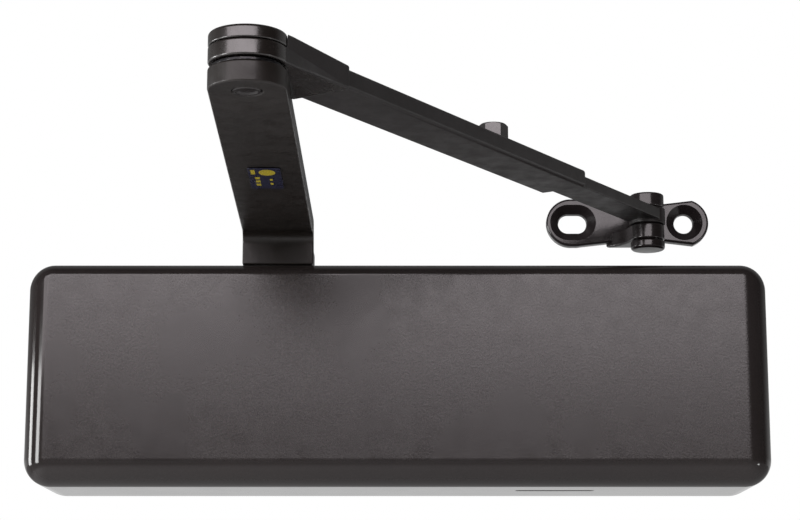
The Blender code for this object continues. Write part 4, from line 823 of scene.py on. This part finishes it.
def make_forearm():
    pin_hole = drum_mesh(0.0073, FOREARM_LOW - 0.001, HEAD_TOP + 0.001, 0, 64)
    side = [(0.004, FOREARM_LOW + 0.00004), (BLOCK_END, FOREARM_LOW + 0.00004), (BLOCK_END, CAP_TOP - 0.0019),
            (0.010, CAP_TOP - 0.00004), (0.004, CAP_TOP - 0.00004)]
    block = placed(prism_mesh(side, -BLOCK_HALF, BLOCK_HALF), UPRIGHT)
    forearm = make("forearm_casting", block, ON_FOREARM, "forearm", "arm_paint",
                   ["forearm_tube"])
    soften(forearm, 0.0011, 4, 30)
    room = drum_mesh(ELBOW_RADIUS + GAP, HEAD_TOP - 0.00003, CAP_TOP + 0.001, 0, 96)
    combine(forearm, "DIFFERENCE", placed(room, ON_FOREARM), placed(pin_hole.copy(), ON_FOREARM))

    head = make("head", drum_mesh(ELBOW_RADIUS, FOREARM_LOW, HEAD_TOP, 0.0007, 96), ON_FOREARM, "forearm",
                "arm_paint", [])
    combine(head, "DIFFERENCE", placed(pin_hole, ON_FOREARM))

    rounding = 0.0016
    section = fillet([(0, TUBE_LOW, 0), (TUBE_HALF, TUBE_LOW, rounding), (TUBE_HALF, TUBE_TOP, rounding),
                      (-TUBE_HALF, TUBE_TOP, rounding), (-TUBE_HALF, TUBE_LOW, rounding),
                      (0, TUBE_LOW, 0)], 6)[:-1]
    across = Matrix(((0, 0, 1, 0), (1, 0, 0, 0), (0, 1, 0, 0), (0, 0, 0, 1)))
    bar = prism_mesh(section, BLOCK_END - 0.010, TUBE_END, 0.0004, 3)
    tube = make("tube", bar, ON_FOREARM @ across, "forearm", "tube_paint", [])
    half_height, half_width = 0.0029, 0.0083
    hollow = placed(box_mesh((0.065, -half_width, ROD_LEVEL - half_height),
                             (TUBE_END + 0.001, half_width, ROD_LEVEL + half_height)), ON_FOREARM)
    bolt_hole = placed(drum_mesh(0.0033, ROD_LEVEL, TUBE_TOP + 0.001, 0, 40), at(BOLT.x, BOLT.y))
    combine(tube, "DIFFERENCE", hollow, bolt_hole)
    for part in (head, tube):
        combine(forearm, "UNION", part.data.copy())
        bpy.data.objects.remove(part)
    clean(forearm)
    shade(forearm)
    forearm.data.materials.append(MATERIALS["tube_paint"])
    for face in forearm.data.polygons:
        if (face.center.xy - ELBOW.xy).length > ELBOW_RADIUS + 0.003:
            face.material_index = 1


def make_clamp_bolt():
    placing = at(BOLT.x, BOLT.y) @ Matrix.Rotation(FOREARM_ANGLE, 4, "Z")
    low = TUBE_TOP + GAP
    flange_top = low + 0.0016
    top = flange_top + 0.0065
    head = prism_mesh(hexagon(0.011), flange_top - 0.0004, top)
    bolt = make("clamp_bolt_head", head, placing, "clamp_bolt", "arm_paint",
                ["forearm_clamp_bolt"])
    crown = lathe_mesh([(0, top), (0.0052, top, 0.0005), (0.0066, top - 0.0012), (0.0066, low), (0, low)], 72)
    combine(bolt, "INTERSECT", placed(crown, placing))
    flange = lathe_mesh([(0, flange_top), (0.0061, flange_top, 0.0003), (0.007, low + 0.0008, 0.0003),
                         (0.007, low, 0.0001), (0.003, low), (0.003, ROD_LEVEL + 0.0029, 0.0003),
                         (0, ROD_LEVEL + 0.0029)], 72)
    combine(bolt, "UNION", placed(flange, placing))
    clean(bolt)
    shade(bolt)


def make_rod():
    low, high = ROD_LEVEL - 0.0026, ROD_LEVEL + 0.0026
    bar = box_mesh((0.100, -0.008, low), (FOREARM_REACH, 0.008, high), 0.0005, 2)
    rod = make("rod_bar", bar, ON_FOREARM, "rod", "tube_paint", ["adjusting_rod"])
    combine(rod, "UNION", placed(drum_mesh(0.0085, EYE_LOW, EYE_TOP, 0.0005, 80), ON_ROD_EYE))
    bore = drum_mesh(0.0059, EYE_LOW - 0.001, EYE_TOP + 0.001, 0, 56)
    combine(rod, "DIFFERENCE", placed(bore, ON_ROD_EYE))
    clean(rod)
    shade(rod)


# The shoe and its pin.

PLATE = 0.006
SLOT_X, HOLE_X = -0.0331, 0.0197
SLOT_STRETCH = 0.0023
HOLE_RADIUS = 0.0044
LOW_EAR, HIGH_EAR = 0.0075, 0.0067


def stretched(mesh, stretch):
    for vert in mesh.vertices:
        if abs(vert.co.x) > 1e-7:
            vert.co.x += math.copysign(stretch, vert.co.x)
    return mesh


def countersink(stretch):
    """The cutter of a screw hole with a sunk seat; local +Z is out of the wall."""
    sink = 0.0036
    wide = 0.0044
    corners = [(0, PLATE + 0.001), (HOLE_RADIUS + wide + 0.0012, PLATE + 0.001, 0),
               (HOLE_RADIUS + wide, PLATE, 0.0004), (HOLE_RADIUS + 0.0004, PLATE - sink, 0.0009),
               (HOLE_RADIUS, -0.001, 0), (0, -0.001)]
    return stretched(lathe_mesh(corners, 80), stretch)


def make_shoe():
    lobe, waist = 0.0117, 0.0087
    waist_left, waist_right = -0.0065, 0.0045
    plate = arc((HOLE_X, 0), lobe, -70, 70, 44)
    plate += [(waist_right, waist), (waist_left, waist)]
    plate += arc((SLOT_X, 0), lobe, 78, 90, 6)
    plate += arc((SLOT_X - SLOT_STRETCH, 0), lobe, 90, 270, 56)
    plate += arc((SLOT_X, 0), lobe, 270, 282, 6)
    plate += [(waist_left, -waist), (waist_right, -waist)]
    front = at(0, -SHOE_PIN.y, ROD_LEVEL) @ UPRIGHT
    shoe = make("shoe_casting", prism_mesh(plate, 0, PLATE, 0.0012, 5), ON_SHOE @ front, "shoe",
                "shoe_paint", ["shoe"])
    back = -SHOE_PIN.y - PLATE / 2
    ear = arc((0, 0), 0.008, 180, 360, 48)
    ear += [(0.0085, back), (-0.018, back), (-0.0122, back * 0.62), (-0.0094, back * 0.3)]
    low_ear = placed(prism_mesh(ear, EYE_LOW - GAP - LOW_EAR, EYE_LOW - GAP, 0.0009, 4), ON_SHOE)
    high_ear = placed(prism_mesh(ear, EYE_TOP + GAP, EYE_TOP + GAP + HIGH_EAR, 0.0009, 4), ON_SHOE)
    combine(shoe, "UNION", low_ear, high_ear)
    cuts = [placed(drum_mesh(0.0043, EYE_LOW - 0.01, EYE_TOP + 0.01, 0, 56), ON_SHOE)]
    for x, stretch in ((SLOT_X - SLOT_STRETCH / 2, SLOT_STRETCH), (HOLE_X, 0.0)):
        cuts.append(placed(countersink(stretch), ON_SHOE @ at(x) @ front))
    combine(shoe, "DIFFERENCE", *cuts)
    clean(shoe)
    shade(shoe)
    top = EYE_TOP + GAP + HIGH_EAR
    head_top = EYE_LOW - GAP - LOW_EAR - GAP
    low = head_top - 0.0042
    pin = lathe_mesh([(0, top), (0.004, top, 0.0005), (0.004, head_top), (0.0081, head_top, 0.0008),
                      (0.0081, low, 0.0013), (0, low)], 72)
    shade(make("shoe_pivot_pin", pin, ON_SHOE, "shoe", "shoe_paint", ["shoe_pin"]))


make_cover()
make_cover_screws()
make_body()
make_end_plugs()
make_shaft_parts()
make_adjusters()
make_spring()
make_main_arm()
make_arm_screw()
make_label()
make_elbow()
make_forearm()
make_clamp_bolt()
make_rod()
make_shoe()

# The pieces that stay as the CAD made them: those inside the closer, and the arm's two bushes.

KEPT = {
    "pinion": "steel_z", "piston": "steel_x",
    "piston_ring_left": "cast_iron", "piston_ring_right": "cast_iron",
    "check_ball": "steel_x", "check_ball_retainer": "steel_x", "spring_seat": "steel_x",
    "left_plug_seal": "rubber", "right_plug_seal": "rubber",
    "closing_valve_seal": "rubber", "latch_valve_seal": "rubber", "backcheck_valve_seal": "rubber",
    "elbow_bush": "bronze_bush", "shoe_bush": "bronze_bush",
}
for name, finish in KEPT.items():
    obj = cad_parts[name]
    obj.data.materials.clear()
    obj.data.materials.append(MATERIALS[finish])
    obj.data.shade_smooth()
    obj.data.set_sharp_from_angle(angle=math.radians(34))


# The studio.

FLOOR_LEVEL, FLOOR_REACH = -0.70, 4.3
FILL_LIGHT = 0.36
BACKDROP = 1.0  # white, where the camera sees past the floor
LENS = 92.03
CAMERA_PLACE = (0.00109, -0.97366, -0.13315)
CAMERA_TILT = math.radians(101.42)
LEFT_EDGE = (-0.165, -0.06, 0.0)


def make_floor():
    mesh = box_mesh((-FLOOR_REACH, -FLOOR_REACH, FLOOR_LEVEL - 0.02),
                    (FLOOR_REACH, FLOOR_REACH, FLOOR_LEVEL))
    floor = bpy.data.objects.new("floor", mesh)
    bpy.context.scene.collection.objects.link(floor)
    g = Graph("floor_paper")
    paper = g.mix(g.noise(3, 4, 0.5), rgb(0.80, 0.80, 0.80), rgb(0.84, 0.84, 0.84))
    g.link(paper, g.shader.inputs["Base Color"])
    g.link(g.bump(g.noise(400, 3, 0.5), 0.0002, 0.2), g.shader.inputs["Normal"])
    g.shader.inputs["Roughness"].default_value = 0.85
    mesh.materials.append(g.material)


def softbox(name, place, target, width, height, radiance, colour=(1, 1, 1)):
    """A rectangular lamp of a given brightness, facing its target."""
    lamp = bpy.data.lights.new(name, "AREA")
    lamp.shape = "RECTANGLE"
    lamp.size, lamp.size_y = width, height
    lamp.energy = radiance * math.pi * width * height
    lamp.color = colour
    obj = bpy.data.objects.new(name, lamp)
    obj.location = place
    obj.rotation_euler = (Vector(target) - Vector(place)).to_track_quat("-Z", "Y").to_euler()
    bpy.context.scene.collection.objects.link(obj)
    return obj


def make_world():
    world = bpy.data.worlds.new("studio")
    bpy.context.scene.world = world
    world.use_nodes = True
    tree = world.node_tree
    tree.nodes.clear()

    def node(kind, **values):
        made = tree.nodes.new(kind)
        for key, value in values.items():
            setattr(made, key, value)
        return made

    def wire(source, target):
        tree.links.new(source, target)

    def ramp(value, from_low, from_high, to_low, to_high):
        ranged = node("ShaderNodeMapRange", interpolation_type="SMOOTHSTEP")
        wire(value, ranged.inputs["Value"])
        ranged.inputs["From Min"].default_value = from_low
        ranged.inputs["From Max"].default_value = from_high
        ranged.inputs["To Min"].default_value = to_low
        ranged.inputs["To Max"].default_value = to_high
        return ranged.outputs[0]

    rays = node("ShaderNodeLightPath")
    direction = node("ShaderNodeTexCoord")
    parts = node("ShaderNodeSeparateXYZ")
    wire(direction.outputs["Generated"], parts.inputs[0])
    mirrored = node("ShaderNodeMath", operation="MULTIPLY")
    wire(ramp(parts.outputs["Y"], 0.0, 0.5, 0.06, 0.78), mirrored.inputs[0])
    wire(ramp(parts.outputs["Z"], 0.02, 0.18, 1.0, 0.25), mirrored.inputs[1])
    seen = node("ShaderNodeMath", operation="MAXIMUM")
    wire(rays.outputs["Is Glossy Ray"], seen.inputs[0])
    wire(rays.outputs["Is Transmission Ray"], seen.inputs[1])
    plain = node("ShaderNodeMix", data_type="FLOAT")
    wire(seen.outputs[0], plain.inputs[0])
    plain.inputs[2].default_value = FILL_LIGHT
    wire(mirrored.outputs[0], plain.inputs[3])
    strength = node("ShaderNodeMix", data_type="FLOAT")
    wire(rays.outputs["Is Camera Ray"], strength.inputs[0])
    wire(plain.outputs[0], strength.inputs[2])
    strength.inputs[3].default_value = BACKDROP
    background = node("ShaderNodeBackground")
    background.inputs["Color"].default_value = (1, 1, 1, 1)
    wire(strength.outputs[0], background.inputs["Strength"])
    out = node("ShaderNodeOutputWorld")
    wire(background.outputs[0], out.inputs["Surface"])


def make_camera():
    data = bpy.data.cameras.new("camera")
    data.lens = LENS
    data.sensor_width = 36.0
    camera = bpy.data.objects.new("camera", data)
    camera.location = CAMERA_PLACE
    camera.rotation_euler = (CAMERA_TILT, 0, 0)
    bpy.context.scene.collection.objects.link(camera)
    bpy.context.scene.camera = camera


make_floor()
softbox("key", (-0.34, -1.42, 0.50), (-0.02, -0.06, 0.0), width=2.24, height=0.56, radiance=3.9,
        colour=(1.0, 0.92, 0.95))
softbox("left_front_strip", (-1.083, -0.752, -0.054), LEFT_EDGE, width=0.30, height=0.46, radiance=15.0)
softbox("left_side_strip", (-1.315, 0.0, -0.054), LEFT_EDGE, width=0.34, height=0.46, radiance=13.0)
softbox("right_kicker", (1.02, -0.62, -0.36), (0.16, -0.05, -0.04), width=0.16, height=0.07, radiance=16.0)
make_world()
make_camera()
bpy.context.scene.view_settings.view_transform = "Standard"
